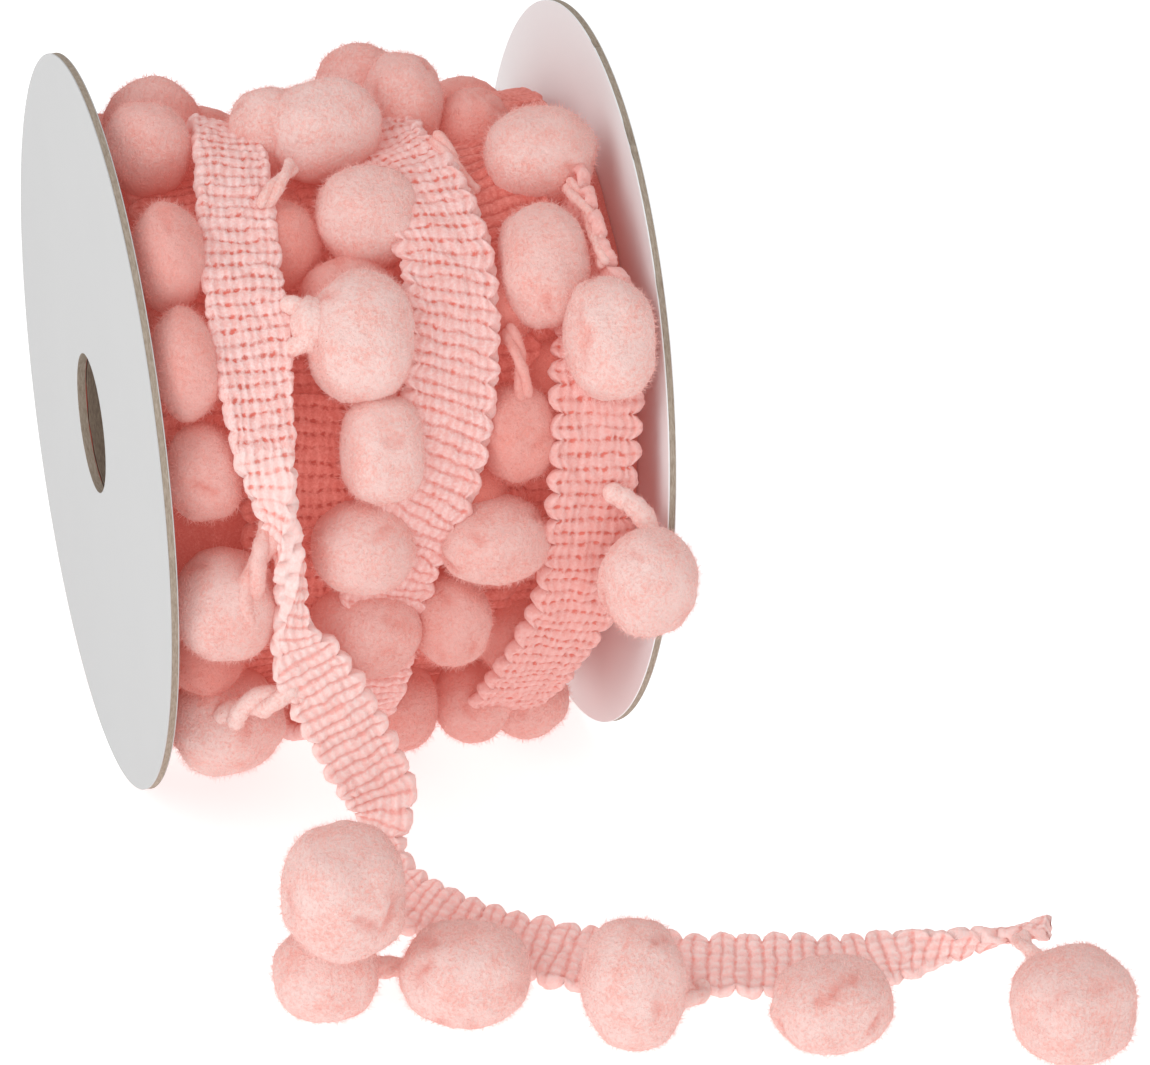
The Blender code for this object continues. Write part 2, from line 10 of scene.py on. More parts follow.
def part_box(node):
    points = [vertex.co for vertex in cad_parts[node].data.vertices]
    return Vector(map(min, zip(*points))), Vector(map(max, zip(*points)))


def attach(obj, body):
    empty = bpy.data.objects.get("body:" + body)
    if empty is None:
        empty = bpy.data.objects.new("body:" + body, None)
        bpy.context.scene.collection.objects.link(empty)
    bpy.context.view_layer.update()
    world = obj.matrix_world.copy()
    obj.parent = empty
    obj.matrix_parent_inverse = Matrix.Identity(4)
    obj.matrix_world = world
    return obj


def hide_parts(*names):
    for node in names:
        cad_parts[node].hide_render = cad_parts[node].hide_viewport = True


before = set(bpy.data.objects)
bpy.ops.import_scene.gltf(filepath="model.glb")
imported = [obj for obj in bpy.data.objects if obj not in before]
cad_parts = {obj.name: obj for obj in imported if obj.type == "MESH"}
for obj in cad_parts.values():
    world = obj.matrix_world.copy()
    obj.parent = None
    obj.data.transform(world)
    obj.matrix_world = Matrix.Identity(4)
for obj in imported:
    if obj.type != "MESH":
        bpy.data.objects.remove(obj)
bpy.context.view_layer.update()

# Pompom trim on a board reel. Sizes are in millimetres unless a name says otherwise.
# Side is a place along the reel's axis from its middle, angle is in degrees up from the front,
# and reach is a distance out from the axis. A floor place is x, y from the reel's middle and a height.

mm = 0.001

reel = {
    "radius": 52.5, "width": 71.6, "board": 1.2, "holeRadius": 10.0,
    "rightLean": (0.0295, 0.029),  # outwards towards the back, and towards the top
    "rightShift": 0.25,
}
reelInside = reel["width"] / 2 - reel["board"]  # from the middle to the inner face of either disc

leftLow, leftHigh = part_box("flange_left")
reelMiddle = Vector((leftLow.x / mm + reel["width"] / 2, (leftLow.y + leftHigh.y) / 2 / mm,
                     (leftLow.z + leftHigh.z) / 2 / mm))


def onReel(side, angle, reach):
    turn = math.radians(angle)
    return reelMiddle + Vector((side, -reach * math.cos(turn), reach * math.sin(turn)))


def reelAxes(angle):
    turn = math.radians(angle)
    return (Vector((1, 0, 0)), Vector((0, math.sin(turn), math.cos(turn))),
            Vector((0, -math.cos(turn), math.sin(turn))))


def onFloor(x, y, height):
    return Vector((reelMiddle.x + x, reelMiddle.y + y, height))


def linear(hexColour):
    channels = [int(hexColour[i:i + 2], 16) / 255 for i in (1, 3, 5)]
    return tuple(c / 12.92 if c <= 0.04045 else ((c + 0.055) / 1.055) ** 2.4 for c in channels) + (1,)


def addNode(tree, kind, inputs=(), **settings):
    # inputs by name or in order: a node or a socket is linked, a number or a colour is set
    node = tree.nodes.new(kind)
    for key, value in settings.items():
        setattr(node, key, value)
    for key, value in (inputs.items() if isinstance(inputs, dict) else enumerate(inputs)):
        if isinstance(value, bpy.types.Node):
            value = value.outputs[0]
        if isinstance(value, bpy.types.NodeSocket):
            tree.links.new(value, node.inputs[key])
        elif value is not None:
            node.inputs[key].default_value = value
    return node


def newObject(name, vertices, faces, attributes=None):
    mesh = bpy.data.meshes.new(name)
    mesh.from_pydata([tuple(v) for v in np.asarray(vertices) * mm], [], faces)
    for key, values in (attributes or {}).items():
        values = np.asarray(values, np.float32)
        layer = mesh.attributes.new(key, "FLOAT" if values.ndim == 1 else "FLOAT_VECTOR", "POINT")
        layer.data.foreach_set("value" if values.ndim == 1 else "vector", values.ravel())
    mesh.validate()
    mesh.shade_smooth()
    item = bpy.data.objects.new(name, mesh)
    bpy.context.scene.collection.objects.link(item)
    return item


def ringFaces(count, around, start=0, closed=False):
    # quads from each ring of points to the next one, and from the last ring to the first where it is closed
    faces = []
    for ring in range(count if closed else count - 1):
        low, high = start + ring * around, start + (ring + 1) % count * around
        for step in range(around):
            after = (step + 1) % around
            faces.append((low + step, low + after, high + after, high + step))
    return faces


def recalculate(item):
    shape = bmesh.new()
    shape.from_mesh(item.data)
    bmesh.ops.recalc_face_normals(shape, faces=shape.faces[:])
    shape.to_mesh(item.data)
    shape.free()


def finishPiece(item, material, node):
    if not item.data.materials:
        item.data.materials.append(material)
    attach(item, "root")
    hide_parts(node)


def newTree(name, numbers, wholeNumbers=()):
    # a tree from a mesh and named numbers to a mesh, and its inputs by name
    tree = bpy.data.node_groups.new(name, "GeometryNodeTree")
    tree.interface.new_socket("Geometry", in_out="INPUT", socket_type="NodeSocketGeometry")
    for kind, keys in (("NodeSocketFloat", numbers), ("NodeSocketInt", wholeNumbers)):
        for key in keys:
            tree.interface.new_socket(key, in_out="INPUT", socket_type=kind)
    tree.interface.new_socket("Geometry", in_out="OUTPUT", socket_type="NodeSocketGeometry")
    return tree, {socket.name: socket for socket in addNode(tree, "NodeGroupInput").outputs}


def applyTree(item, tree, values):
    # runs a tree on an object and keeps its result as a plain mesh
    modifier = item.modifiers.new(tree.name, "NODES")
    modifier.node_group = tree
    sockets = {s.name: s.identifier for s in tree.interface.items_tree if s.in_out == "INPUT"}
    for key, value in values.items():
        modifier[sockets[key]] = value
    depsgraph = bpy.context.evaluated_depsgraph_get()
    mesh = bpy.data.meshes.new_from_object(item.evaluated_get(depsgraph))
    item.modifiers.remove(modifier)
    old = item.data
    item.data = mesh
    bpy.data.meshes.remove(old)


def finishSoft(item, material, node, runs):
    # runs trees on a piece, then shades it smooth and holds it clear of the surface that the reel stands on
    for tree, values in runs:
        applyTree(item, tree, values)
    for vertex in item.data.vertices:
        vertex.co.z = max(vertex.co.z, 0.02 * mm)
    item.data.shade_smooth()
    finishPiece(item, material, node)


view = {"azimuth": -16.614, "elevation": 27.124, "distance": 758.3, "aim": (35.75, 0, 24.55), "lens": 160.64}


def addCamera():
    turn, rise = math.radians(view["azimuth"]), math.radians(view["elevation"])
    back = Vector((math.sin(turn) * math.cos(rise), -math.cos(turn) * math.cos(rise), math.sin(rise)))
    camera = bpy.data.objects.new("camera", bpy.data.cameras.new("camera"))
    camera.location = (onFloor(*view["aim"]) + back * view["distance"]) * mm
    camera.rotation_euler = back.to_track_quat("Z", "Y").to_euler()
    camera.data.lens = view["lens"]
    camera.data.sensor_width = 36
    camera.data.clip_start = 0.01
    bpy.context.scene.collection.objects.link(camera)
    bpy.context.scene.camera = camera


studio = {
    "sky": 0.62, "floor": "#D8D8D8", "floorGlow": 0.68, "floorSize": 12, "floorGap": 0.00002,  # in metres
    "boxes": [  # name, place in metres from the reel, size in metres, watts
        ("keyBox", (-0.7, -0.3, 0.6), 0.8, 3.2),
        ("frontBox", (-0.2, -1.0, 0.28), 0.9, 2.2),
    ],
}


def addStudio():
    scene = bpy.context.scene
    scene.view_settings.view_transform = "Standard"
    scene.world = bpy.data.worlds.new("studio")
    scene.world.use_nodes = True
    sky = scene.world.node_tree.nodes["Background"]
    sky.inputs["Color"].default_value = (1, 1, 1, 1)
    sky.inputs["Strength"].default_value = studio["sky"]
    for name, place, size, watts in studio["boxes"]:
        lamp = bpy.data.lights.new(name, "AREA")
        lamp.shape = "DISK"
        lamp.size = size
        lamp.energy = watts
        item = bpy.data.objects.new(name, lamp)
        item.location = reelMiddle * mm + Vector(place)
        item.rotation_euler = Vector(place).to_track_quat("Z", "Y").to_euler()
        scene.collection.objects.link(item)
    half = studio["floorSize"] / 2
    corners = [(-half, -half, 0), (half, -half, 0), (half, half, 0), (-half, half, 0)]
    floor = bpy.data.meshes.new("floor")
    floor.from_pydata(corners, [], [(0, 1, 2, 3)])
    floorItem = bpy.data.objects.new("floor", floor)
    floorItem.location.z = -studio["floorGap"]
    scene.collection.objects.link(floorItem)
    # an even white that shines a little, so that it has no edge against the sky
    paint, _ = newMaterial("matt white paint")
    dress(paint, studio["floor"], [], None, {"Roughness": 0.9, "Emission Color": (1, 1, 1, 1),
                                             "Emission Strength": studio["floorGlow"]})
    floor.materials.append(paint)


yarn = {
    "felt": "#E1CDC8", "fleck": "#E1AEA5", "paintedShade": "#D38075", "feltGlow": 0.15,
    "fibre": "#F1D9D4", "fibreDeep": "#EAC9C3", "fibrePaintedShade": "#D98F84", "fibreGlow": 0.23,
    "tape": "#ECDAD8", "tapeMid": "#E8C1BB", "tapeGrooveShade": "#D36F63", "tapePaintedShade": "#D0867D", "tapeGlow": 0.15,
    # loose: the same tape painted lighter, so that the loose end on the floor comes out as light as the
    # turns, with painted shade in its grooves
    "loose": "#E9DDDA", "looseMid": "#EFD3CE", "looseGrooveShade": "#E48E83",
    # packed: the same tape painted in shade for the turns deep in the roll, with darker painted grooves and a
    # stronger painted glow
    "packed": "#DC9086", "packedMid": "#C96C62", "packedGrooveShade": "#A8392F", "packedGlow": 0.185,
    "stem": "#E4D3CE", "stemDeep": "#E0B2A9", "bloom": "#FFD9D2",
    "glow": "#F98173",  # painted glow: this coral emission stands in for light scattered among the fibres and bounced about in the shade
    "feltTint": 4.0, "fibreTint": 1.5,  # sizes of the broad tints, in millimetres
    "fleckShare": (0.58, 0.86),
}


def newMaterial(name, noises=None, attributes=()):
    # a material, and its noises (in object space, by scale, detail and roughness) and attributes by name
    material = bpy.data.materials.new(name)
    material.use_nodes = True
    tree = material.node_tree
    made = {key: addNode(tree, "ShaderNodeAttribute", attribute_name=key).outputs["Fac"]
            for key in attributes}
    for key, (scale, detail, roughness) in (noises or {}).items():
        place = addNode(tree, "ShaderNodeTexCoord").outputs["Object"]
        made[key] = addNode(tree, "ShaderNodeTexNoise", {"Vector": place, "Scale": scale, "Detail": detail,
                                                         "Roughness": roughness})
    return material, made


def dress(material, base, layers, relief, settings):
    # a base colour under layers of others, each with its own share, then a relief (a height, how strong and
    # how many millimetres deep), and the shader's other settings by name
    tree = material.node_tree
    shader = tree.nodes["Principled BSDF"]
    colour = linear(base)
    for share, other in layers:
        mixed = addNode(tree, "ShaderNodeMix", {0: share, 6: colour, 7: linear(other)}, data_type="RGBA")
        colour = mixed.outputs[2]
    if layers:
        tree.links.new(colour, shader.inputs["Base Color"])
    else:
        shader.inputs["Base Color"].default_value = colour
    if relief:
        height, strength, depth = relief
        bump = addNode(tree, "ShaderNodeBump", {"Height": height, "Strength": strength,
                                                "Distance": depth * mm})
        tree.links.new(bump.outputs["Normal"], shader.inputs["Normal"])
    for key, value in settings.items():
        shader.inputs[key].default_value = value


# the yarn's emission is a painted coral glow that fills its shade
def dressSoft(material, base, layers, relief, sheen, glow):
    dress(material, base, layers, relief, {
        "Roughness": 0.95, "Specular IOR Level": 0.1, "Sheen Weight": sheen, "Sheen Roughness": 0.5,
        "Sheen Tint": linear(yarn["bloom"]), "Emission Color": linear(yarn["glow"]),
        "Emission Strength": glow})
    material.cycles.emission_sampling = "NONE"  # too faint to light what is round it
    return material


def yarnMaterial(name, light, deep, grain, bump, sheen):
    # felted acrylic yarn: matt and soft, flecked with coral where the pile parts, with painted shade, a
    # deeper coral, further down in the roll and in its creases
    material, made = newMaterial(name, {"fine": (1000 / grain, 3.0, 0.7),
                                        "broad": (1000 / yarn["feltTint"], 2.0, 0.5)}, ["paintedShade"])
    tree = material.node_tree
    blend = addNode(tree, "ShaderNodeMath", (made["broad"], 0.6, made["fine"]), operation="MULTIPLY_ADD")
    low, high = yarn["fleckShare"]
    share = addNode(tree, "ShaderNodeMapRange", {"Value": blend, "From Min": low, "From Max": high})
    return dressSoft(material, deep, [(share, light), (made["paintedShade"], yarn["paintedShade"])],
                     (made["fine"], bump, 0.5), sheen, yarn["feltGlow"])


def fibreMaterial(name):
    # single loose fibres: finer than a pixel, so they soften an outline and carry only the wool's broad
    # tints; they are painted paler than the felt, with a stronger painted glow, to make up for the shade they
    # cast on themselves
    material, made = newMaterial(name, {"broad": (1000 / yarn["fibreTint"], 1.0, 0.5)}, ["paintedShade"])
    layers = [(made["broad"], yarn["fibre"]), (made["paintedShade"], yarn["fibrePaintedShade"])]
    return dressSoft(material, yarn["fibreDeep"], layers, None, 0.3, yarn["fibreGlow"])


weave = {
    "grain": 0.4, "cloud": 1.8,        # sizes of the yarn's grain and of its broad tints, in millimetres
    "wander": 0.9, "woolly": 0.7,      # how far the yarns wander, and how woolly their edges are
    "groove": 0.5, "seam": 0.6,        # half widths of the painted shade between two ribs and between two cords
    "pitLeast": 0.4, "pitSpread": 1.1, "mottle": (0.55, 0.85),
    "gridGroove": 0.14, "boldGroove": 0.6, "faintSeam": 0.25,  # how dark each painted shade is, from 0 to 1
    "selvedge": 0.84,
    "ribCrown": 0.6, "cordCrown": 0.7,  # below 1, a yarn's crown is blunt
    "gridRib": -0.45,                   # how much lower the ribs are in a grid
    "bead": 0.22, "fuzz": 0.5, "sink": 0.2, "notch": 0.7, "stray": 1.3,
}


def wovenMaterial(name, light, middle, deep, glow):
    # corded cotton tape: painted shade in the pits where four cords meet, or in the grooves between rolled
    # and beaded ribs, and painted shade deeper in the roll
    material, made = newMaterial(name, {"fibre": (1000 / weave["grain"], 3.0, 0.8),
                                        "broad": (1000 / weave["cloud"], 2.0, 0.5)},
                                 ["along", "across", "rim", "cord", "skew", "paintedShade"])
    tree = material.node_tree
    for key, operation, *inputs in (
            # the yarns wander, and their edges are woolly
            ("wander", "MULTIPLY_ADD", "broad", weave["wander"], -weave["wander"] / 2),
            ("woolly", "MULTIPLY_ADD", "fibre", weave["woolly"], -weave["woolly"] / 2),
            ("ribPlace", "ADD", "along", "wander"),
            ("ribPlace", "MULTIPLY_ADD", "across", "skew", "ribPlace"),
            ("ribPlace", "DIVIDE", "ribPlace", tape["ribPitch"]),
            ("cordPlace", "ADD", "across", "wander"),
            ("cordPlace", "DIVIDE", "cordPlace", tape["cordPitch"]),
            ("ribGap", "PINGPONG", "ribPlace", 0.5),
            ("ribGap", "MULTIPLY_ADD", "ribGap", tape["ribPitch"], "woolly"),
            ("cordGap", "PINGPONG", "cordPlace", 0.5),
            ("cordGap", "MULTIPLY_ADD", "cordGap", tape["cordPitch"], "woolly"),
            ("ribNumber", "ROUND", "ribPlace"),
            ("cordNumber", "ROUND", "cordPlace")):
        made[key] = addNode(tree, "ShaderNodeMath", [made.get(i, i) for i in inputs], operation=operation)
    for key, gap in (("groove", "ribGap"), ("seam", "cordGap")):
        made[key] = addNode(tree, "ShaderNodeMapRange", {"Value": made[gap], "From Min": weave[key],
                                                         "From Max": 0.0}, interpolation_type="SMOOTHSTEP")
    # each crossing has its own depth of painted pit shade, and the selvedge is whole yarn, without pits
    cell = addNode(tree, "ShaderNodeCombineXYZ", (made["ribNumber"], made["cordNumber"]))
    made["chance"] = addNode(tree, "ShaderNodeTexWhiteNoise", {"Vector": cell}, noise_dimensions="3D")
    for key, operation, *inputs in (
            ("depth", "MULTIPLY_ADD", "chance", weave["pitSpread"], weave["pitLeast"]),
            ("pit", "MULTIPLY", "groove", "seam"),
            ("pit", "MULTIPLY", "pit", "depth"),
            ("seam", "MULTIPLY", "seam", weave["faintSeam"]),
            ("grid", "MULTIPLY_ADD", "groove", weave["gridGroove"], "pit"),
            ("grid", "MAXIMUM", "grid", "seam"),
            ("bold", "MULTIPLY", "groove", weave["boldGroove"]),
            ("bold", "MAXIMUM", "bold", "seam"),
            ("mottle", "MULTIPLY_ADD", "broad", 0.4, "fibre")):
        made[key] = addNode(tree, "ShaderNodeMath", [made.get(i, i) for i in inputs], operation=operation)
    dark = addNode(tree, "ShaderNodeMix", (made["cord"], None, made["bold"], made["grid"]), data_type="FLOAT")
    within = addNode(tree, "ShaderNodeMapRange", {"Value": made["rim"], "From Min": 1.0, "To Min": 0.15,
                                                  "From Max": weave["selvedge"]})
    dark = addNode(tree, "ShaderNodeMath", (dark, within), operation="MULTIPLY", use_clamp=True)
    low, high = weave["mottle"]
    share = addNode(tree, "ShaderNodeMapRange", {"Value": made["mottle"], "From Min": low, "From Max": high})
    height = addNode(tree, "ShaderNodeMath", (dark, -0.8, made["fibre"]), operation="MULTIPLY_ADD")
    return dressSoft(material, middle, [(share, light), (made["paintedShade"], yarn["tapePaintedShade"]), (dark, deep)],
                     (height, 0.45, 0.5), 0.3, glow)


def paperMaterial(name, face, mottle):
    # smooth coated paper over board: nearly even, with a faint cloudiness
    material, made = newMaterial(name, {"cloud": (60.0, 4.0, 0.5), "fibre": (2500.0, 2.0, 0.5)})
    dress(material, mottle, [(made["cloud"], face)], (made["fibre"], 0.12, 0.1), {"Roughness": 0.62})
    return material


def boardMaterial(name, light, dark):
    # cut board: pressed paper layers that run round the edge, brown-grey and fibrous
    material, made = newMaterial(name, {"layers": (900.0, 4.0, 0.7)})
    tree = material.node_tree
    place = addNode(tree, "ShaderNodeTexCoord").outputs["Object"]
    stretched = addNode(tree, "ShaderNodeMapping", {"Vector": place, "Scale": (5.0, 1.0, 1.0)})
    tree.links.new(stretched.outputs[0], made["layers"].inputs["Vector"])
    share = addNode(tree, "ShaderNodeMapRange", {"Value": made["layers"], "From Min": 0.3, "From Max": 0.7})
    dress(material, dark, [(share, light)], (made["layers"], 0.5, 0.2), {"Roughness": 0.9})
    return material


disc = {
    "steps": 288, "rings": 14, "rimShare": 0.9995, "liner": 0.16, "bevel": 0.06,
    "edgeInset": (0.05, 0.03), "wallRipple": 0.02, "wallInset": 0.2,
    "ripple": 0.05, "rippleScale": 30,       # unevenness of the cut edge
    "leftDish": 0.06,                        # the left disc's rim stands in towards the trim
    "leftLean": (0.0093, -0.005),
    # nicks in the right disc's rim: angle, width in degrees, depth
    "nicks": [(61.0, 2.2, 0.5), (57.5, 1.0, 0.35), (82.5, 0.8, 0.5), (36.0, 1.6, 0.3)],
}


def discOffset(name, y, z):
    # how far a disc's face stands along the axis, y and z from the axis
    if name == "flange_right":
        back, up = reel["rightLean"]
        return reel["rightShift"] + back * y + up * z
    back, up = disc["leftLean"]
    return disc["leftDish"] * (y * y + z * z) / reel["radius"] ** 2 + back * y + up * z


def makeDisc(name, direction, paper, raw):
    outer, inner = reel["width"] / 2, reelInside
    rim, hole = reel["radius"] * disc["rimShare"], reel["holeRadius"]
    liner, bevel, (deep, shallow) = disc["liner"], disc["bevel"], disc["edgeInset"]
    radii = [hole + (rim - bevel - hole) * i / disc["rings"] for i in range(disc["rings"] + 1)]
    # its section: outer face, paper, raw edge, paper, inner face, and the wall of the hole
    section = [(r, outer) for r in radii] + [(rim, outer - bevel), (rim, outer - liner)]
    edgeStart = len(section)
    section += [(rim - deep, outer - liner - shallow), (rim - shallow, (outer + inner) / 2),
                (rim - deep, inner + liner + shallow)]
    edgeEnd = len(section)
    section += [(rim, inner + liner), (rim, inner + bevel)] + [(r, inner) for r in reversed(radii)]
    holeStart, wave, inset = len(section), disc["wallRipple"], disc["wallInset"]
    section += [(hole - wave, inner + inset), (hole + wave, (outer + inner) / 2),
                (hole - wave, outer - inset)]
    points = []
    for step in range(disc["steps"]):
        angle = 2 * math.pi * step / disc["steps"]
        nick = 0
        for at, wide, cut in disc["nicks"]:
            gap = abs((math.degrees(angle) - at + 180) % 360 - 180) / wide
            if gap < 1 and direction > 0:
                nick += cut * (1 - gap * gap)
        for index, (reach, side) in enumerate(section):
            if edgeStart <= index <= edgeEnd:
                reach -= nick
            if edgeStart <= index < edgeEnd:
                scale = disc["rippleScale"]
                place = Vector((math.cos(angle) * scale, math.sin(angle) * scale, side * 3))
                reach += disc["ripple"] * noise.noise(place)
            y, z = -reach * math.cos(angle), reach * math.sin(angle)
            x = direction * side + discOffset(name, y, z)
            points.append(reelMiddle + Vector((x, y, max(z, -reelMiddle.z + 0.005))))
    count = len(section)
    faces = ringFaces(disc["steps"], count, closed=True)
    item = newObject(name + "_board", points, faces if direction > 0 else [f[::-1] for f in faces])
    item.data.set_sharp_from_angle(angle=math.radians(35))
    finishPiece(item, paper, name)
    item.data.materials.append(raw)
    rawRows = set(range(edgeStart - 1, edgeEnd)) | set(range(holeStart - 1, count))
    for face in item.data.polygons:
        face.material_index = 1 if face.index % count in rawRows else 0


tube = {
    "radius": 9.6, "wall": 1.0, "steps": 96, "rows": 36,
    "short": 0.3, "shortRight": 0.35,                    # its ends stay a little short of the discs
    "seamPitch": 26.0, "seam": 0.12, "seamWidth": 0.02,  # width as a share of the pitch
    "ragged": 0.12, "raggedScale": 5,
}


def makeTube(material):
    # spiral wound board: a shallow seam runs round it inside, and its ends are a little ragged
    end = reelInside - tube["short"]
    steps, rows = tube["steps"], tube["rows"]
    inside = [(tube["radius"], row) for row in range(rows + 1)]
    outside = [(tube["radius"] + tube["wall"], row) for row in range(rows, -1, -1)]
    points = []
    for wall, row in inside + outside:
        side = -end + (2 * end - tube["shortRight"]) * row / rows
        for step in range(steps):
            angle = 2 * math.pi * step / steps
            phase = (side / tube["seamPitch"] + step / steps) % 1
            seam = tube["seam"] * math.exp(-((phase - 0.5) / tube["seamWidth"]) ** 2)
            scale = tube["raggedScale"]
            ragged = noise.noise(Vector((math.cos(angle) * scale, math.sin(angle) * scale, wall)))
            x = side + (tube["ragged"] * ragged if row in (0, rows) else 0)
            reach = wall + (seam if wall == tube["radius"] else 0)
            points.append(reelMiddle + Vector((x, -reach * math.cos(angle), reach * math.sin(angle))))
    item = newObject("core_tube_board", points, ringFaces(2 * (rows + 1), steps, closed=True))
    item.data.set_sharp_from_angle(angle=math.radians(50))
    recalculate(item)
    finishPiece(item, material, "core_tube")


tape = {
    "width": 12.0, "thickness": 1.9, "ribPitch": 1.85, "cordPitch": 1.22,
    "ribDepth": 0.4, "cordDepth": 0.24, "pit": 0.42,
    "slantBelow": 7.5, "slantOver": 3, "slant": 0.45,  # a narrow, twisted stretch has slanting ribs
    "wrapReach": 47,                                   # the reach that the count of ribs goes by
    "fine": (6, 38), "coarse": (4, 18),                # steps to a rib, and columns
}
# Outer turns: angle, side, reach, width, edge (0 lies flat, 90 stands on edge), cord (0 ribs only, 1 a grid)
woundTape = [
    (18, -21.6, 49.5, 7.9, -8, 1.0),
    (34, -21.2, 49.0, 10.6, 0, 1.0),
    (51, -20.3, 48.0, 10.7, 0, 0.8),
    (76, -17.0, 46.5, 9.5, -6, 0.6),
    (95, -14.8, 40.8, 9.4, -22, 0.6),
    (117, -13.2, 38.3, 9.6, -18, 0.6),
    (140, -12.0, 42.0, 10.6, 0, 0.6),
    (200, -9.0, 44.5, 12.0, 0, 0.6),
    (260, -7.5, 47.0, 12.0, 0, 0.4),
    (310, -7.0, 47.5, 12.0, 0, 0.3),
    (345, -5.0, 46.0, 12.0, 0, 0.3),
    (360, -1.8, 47.0, 12.0, 0, 0.3),
    (369, 1.5, 48.0, 12.0, 0, 0.25),
    (383, 4.8, 48.5, 12.0, 0, 0.35),
    (404, 7.3, 48.5, 12.0, 0, 0.7),
    (420, 5.9, 48.0, 12.0, 8, 0.9),
    (440, 4.0, 43.5, 12.0, 20, 0.8),
    (500, 8.0, 42.5, 12.0, 0, 0.8),
    (560, 11.0, 44.5, 12.0, 0, 0.8),
    (620, 14.0, 47.0, 12.0, 0, 0.8),
    (665, 15.5, 48.0, 12.0, 0, 1.0),
    (689, 17.8, 49.0, 12.0, 0, 1.0),
    (704, 21.4, 49.5, 12.0, 0, 1.0),
    (724, 23.6, 49.0, 12.0, 0, 1.0),
    (740, 25.2, 48.5, 12.0, 5, 1.0),
    (752, 27.0, 47.0, 12.0, 40, 1.0),
    (762, 28.2, 46.0, 12.0, 84, 1.0),
    (772, 28.2, 44.5, 12.0, 84, 1.0),
    (785, 26.5, 41.0, 12.0, 60, 1.0),
]
# Loose end: x, y, height, the way its face points, width, thickness, cord
looseTape = [
    (-21.6, -46.9, 69.0, 0.1, -0.95, 0.32, 7.8, 1.8, 1.0),
    (-21.6, -47.3, 67.2, 0.05, -0.95, 0.30, 7.4, 1.9, 1.0),
    (-20.9, -49.6, 62.4, -0.40, -0.88, 0.15, 5.2, 2.3, 0.8),
    (-20.0, -50.8, 56.5, -0.90, -0.40, 0.0, 4.2, 3.0, 0.4),
    (-19.4, -51.1, 50.5, -0.80, 0.60, 0.0, 3.8, 3.2, 0.3),
    (-19.4, -51.2, 44.5, -0.20, 0.98, 0.0, 4.0, 3.0, 0.2),
    (-18.6, -51.2, 40.3, 0.0, 1.0, -0.05, 7.0, 2.4, 0.1),
    (-16.9, -51.0, 36.8, 0.05, 0.99, -0.06, 9.6, 2.0, 0.1),
    (-14.3, -51.0, 31.2, 0.05, 0.99, -0.06, 10.2, 1.9, 0.1),
    (-11.0, -51.1, 23.8, 0.05, 0.99, -0.06, 10.2, 1.9, 0.1),
    (-7.8, -51.0, 16.8, 0.12, 0.97, -0.18, 9.8, 1.9, 0.1),
    (-7.0, -51.6, 13.0, 0.35, 0.85, -0.35, 7.6, 2.0, 0.2),
    (-8.0, -53.2, 9.6, 0.60, 0.50, -0.60, 6.2, 2.2, 0.2),
    (-7.8, -56.4, 6.4, 0.62, 0.20, -0.76, 6.8, 2.2, 0.2),
    (-6.0, -62.6, 4.2, 0.50, 0.15, -0.85, 7.8, 2.0, 0.2),
    (1.9, -72.8, 3.4, 0.28, 0.32, -0.90, 8.8, 1.9, 0.2),
    (8.0, -77.7, 3.2, 0.18, 0.36, -0.92, 9.4, 1.9, 0.2),
    (14.7, -82.2, 3.0, 0.14, 0.36, -0.92, 9.3, 1.9, 0.2),
    (25.2, -85.9, 2.9, 0.10, 0.36, -0.92, 9.2, 1.9, 0.2),
    (35.6, -89.3, 2.8, 0.06, 0.38, -0.92, 9.2, 1.9, 0.3),
    (46.0, -92.3, 2.8, 0.05, 0.38, -0.92, 9.0, 1.9, 0.2),
    (53.0, -92.8, 3.1, 0.0, 0.50, -0.86, 7.0, 2.0, 0.2),
    (57.3, -93.0, 3.5, 0.0, 0.75, -0.60, 4.8, 2.2, 0.2),
    (61.4, -93.2, 3.9, 0.0, 0.98, -0.20, 3.4, 2.3, 0.2),
    (67.8, -94.6, 4.8, 0.0, 0.60, 0.80, 2.9, 2.2, 0.2),
    (73.0, -98.2, 7.5, 0.0, -0.40, 0.90, 2.5, 2.1, 0.2),
]


def smoothRow(rows, place):
    index = min(int(place), len(rows) - 2)
    share = place - index
    near = [rows[max(0, min(len(rows) - 1, index + step))] for step in (-1, 0, 1, 2)]
    before, start, end, after = (np.array(row, float) for row in near)
    slope, nextSlope = (end - before) / 2, (after - start) / 2
    cubic = 2 * (start - end) + slope + nextSlope
    square = 3 * (end - start) - 2 * slope - nextSlope
    return ((cubic * share + square) * share + slope) * share + start


def evenRows(rows, measure, spacing):
    # rows at even lengths along a table's smooth curve
    places = np.linspace(0, len(rows) - 1, (len(rows) - 1) * 16 + 1)
    points = np.array([measure(smoothRow(rows, p)) for p in places])
    walked = np.concatenate([[0], np.cumsum(np.linalg.norm(np.diff(points, axis=0), axis=1))])
    count = max(2, round(walked[-1] / spacing))
    lengths = np.arange(count + 1) * spacing
    return lengths, [smoothRow(rows, p) for p in np.interp(lengths, walked, places)]


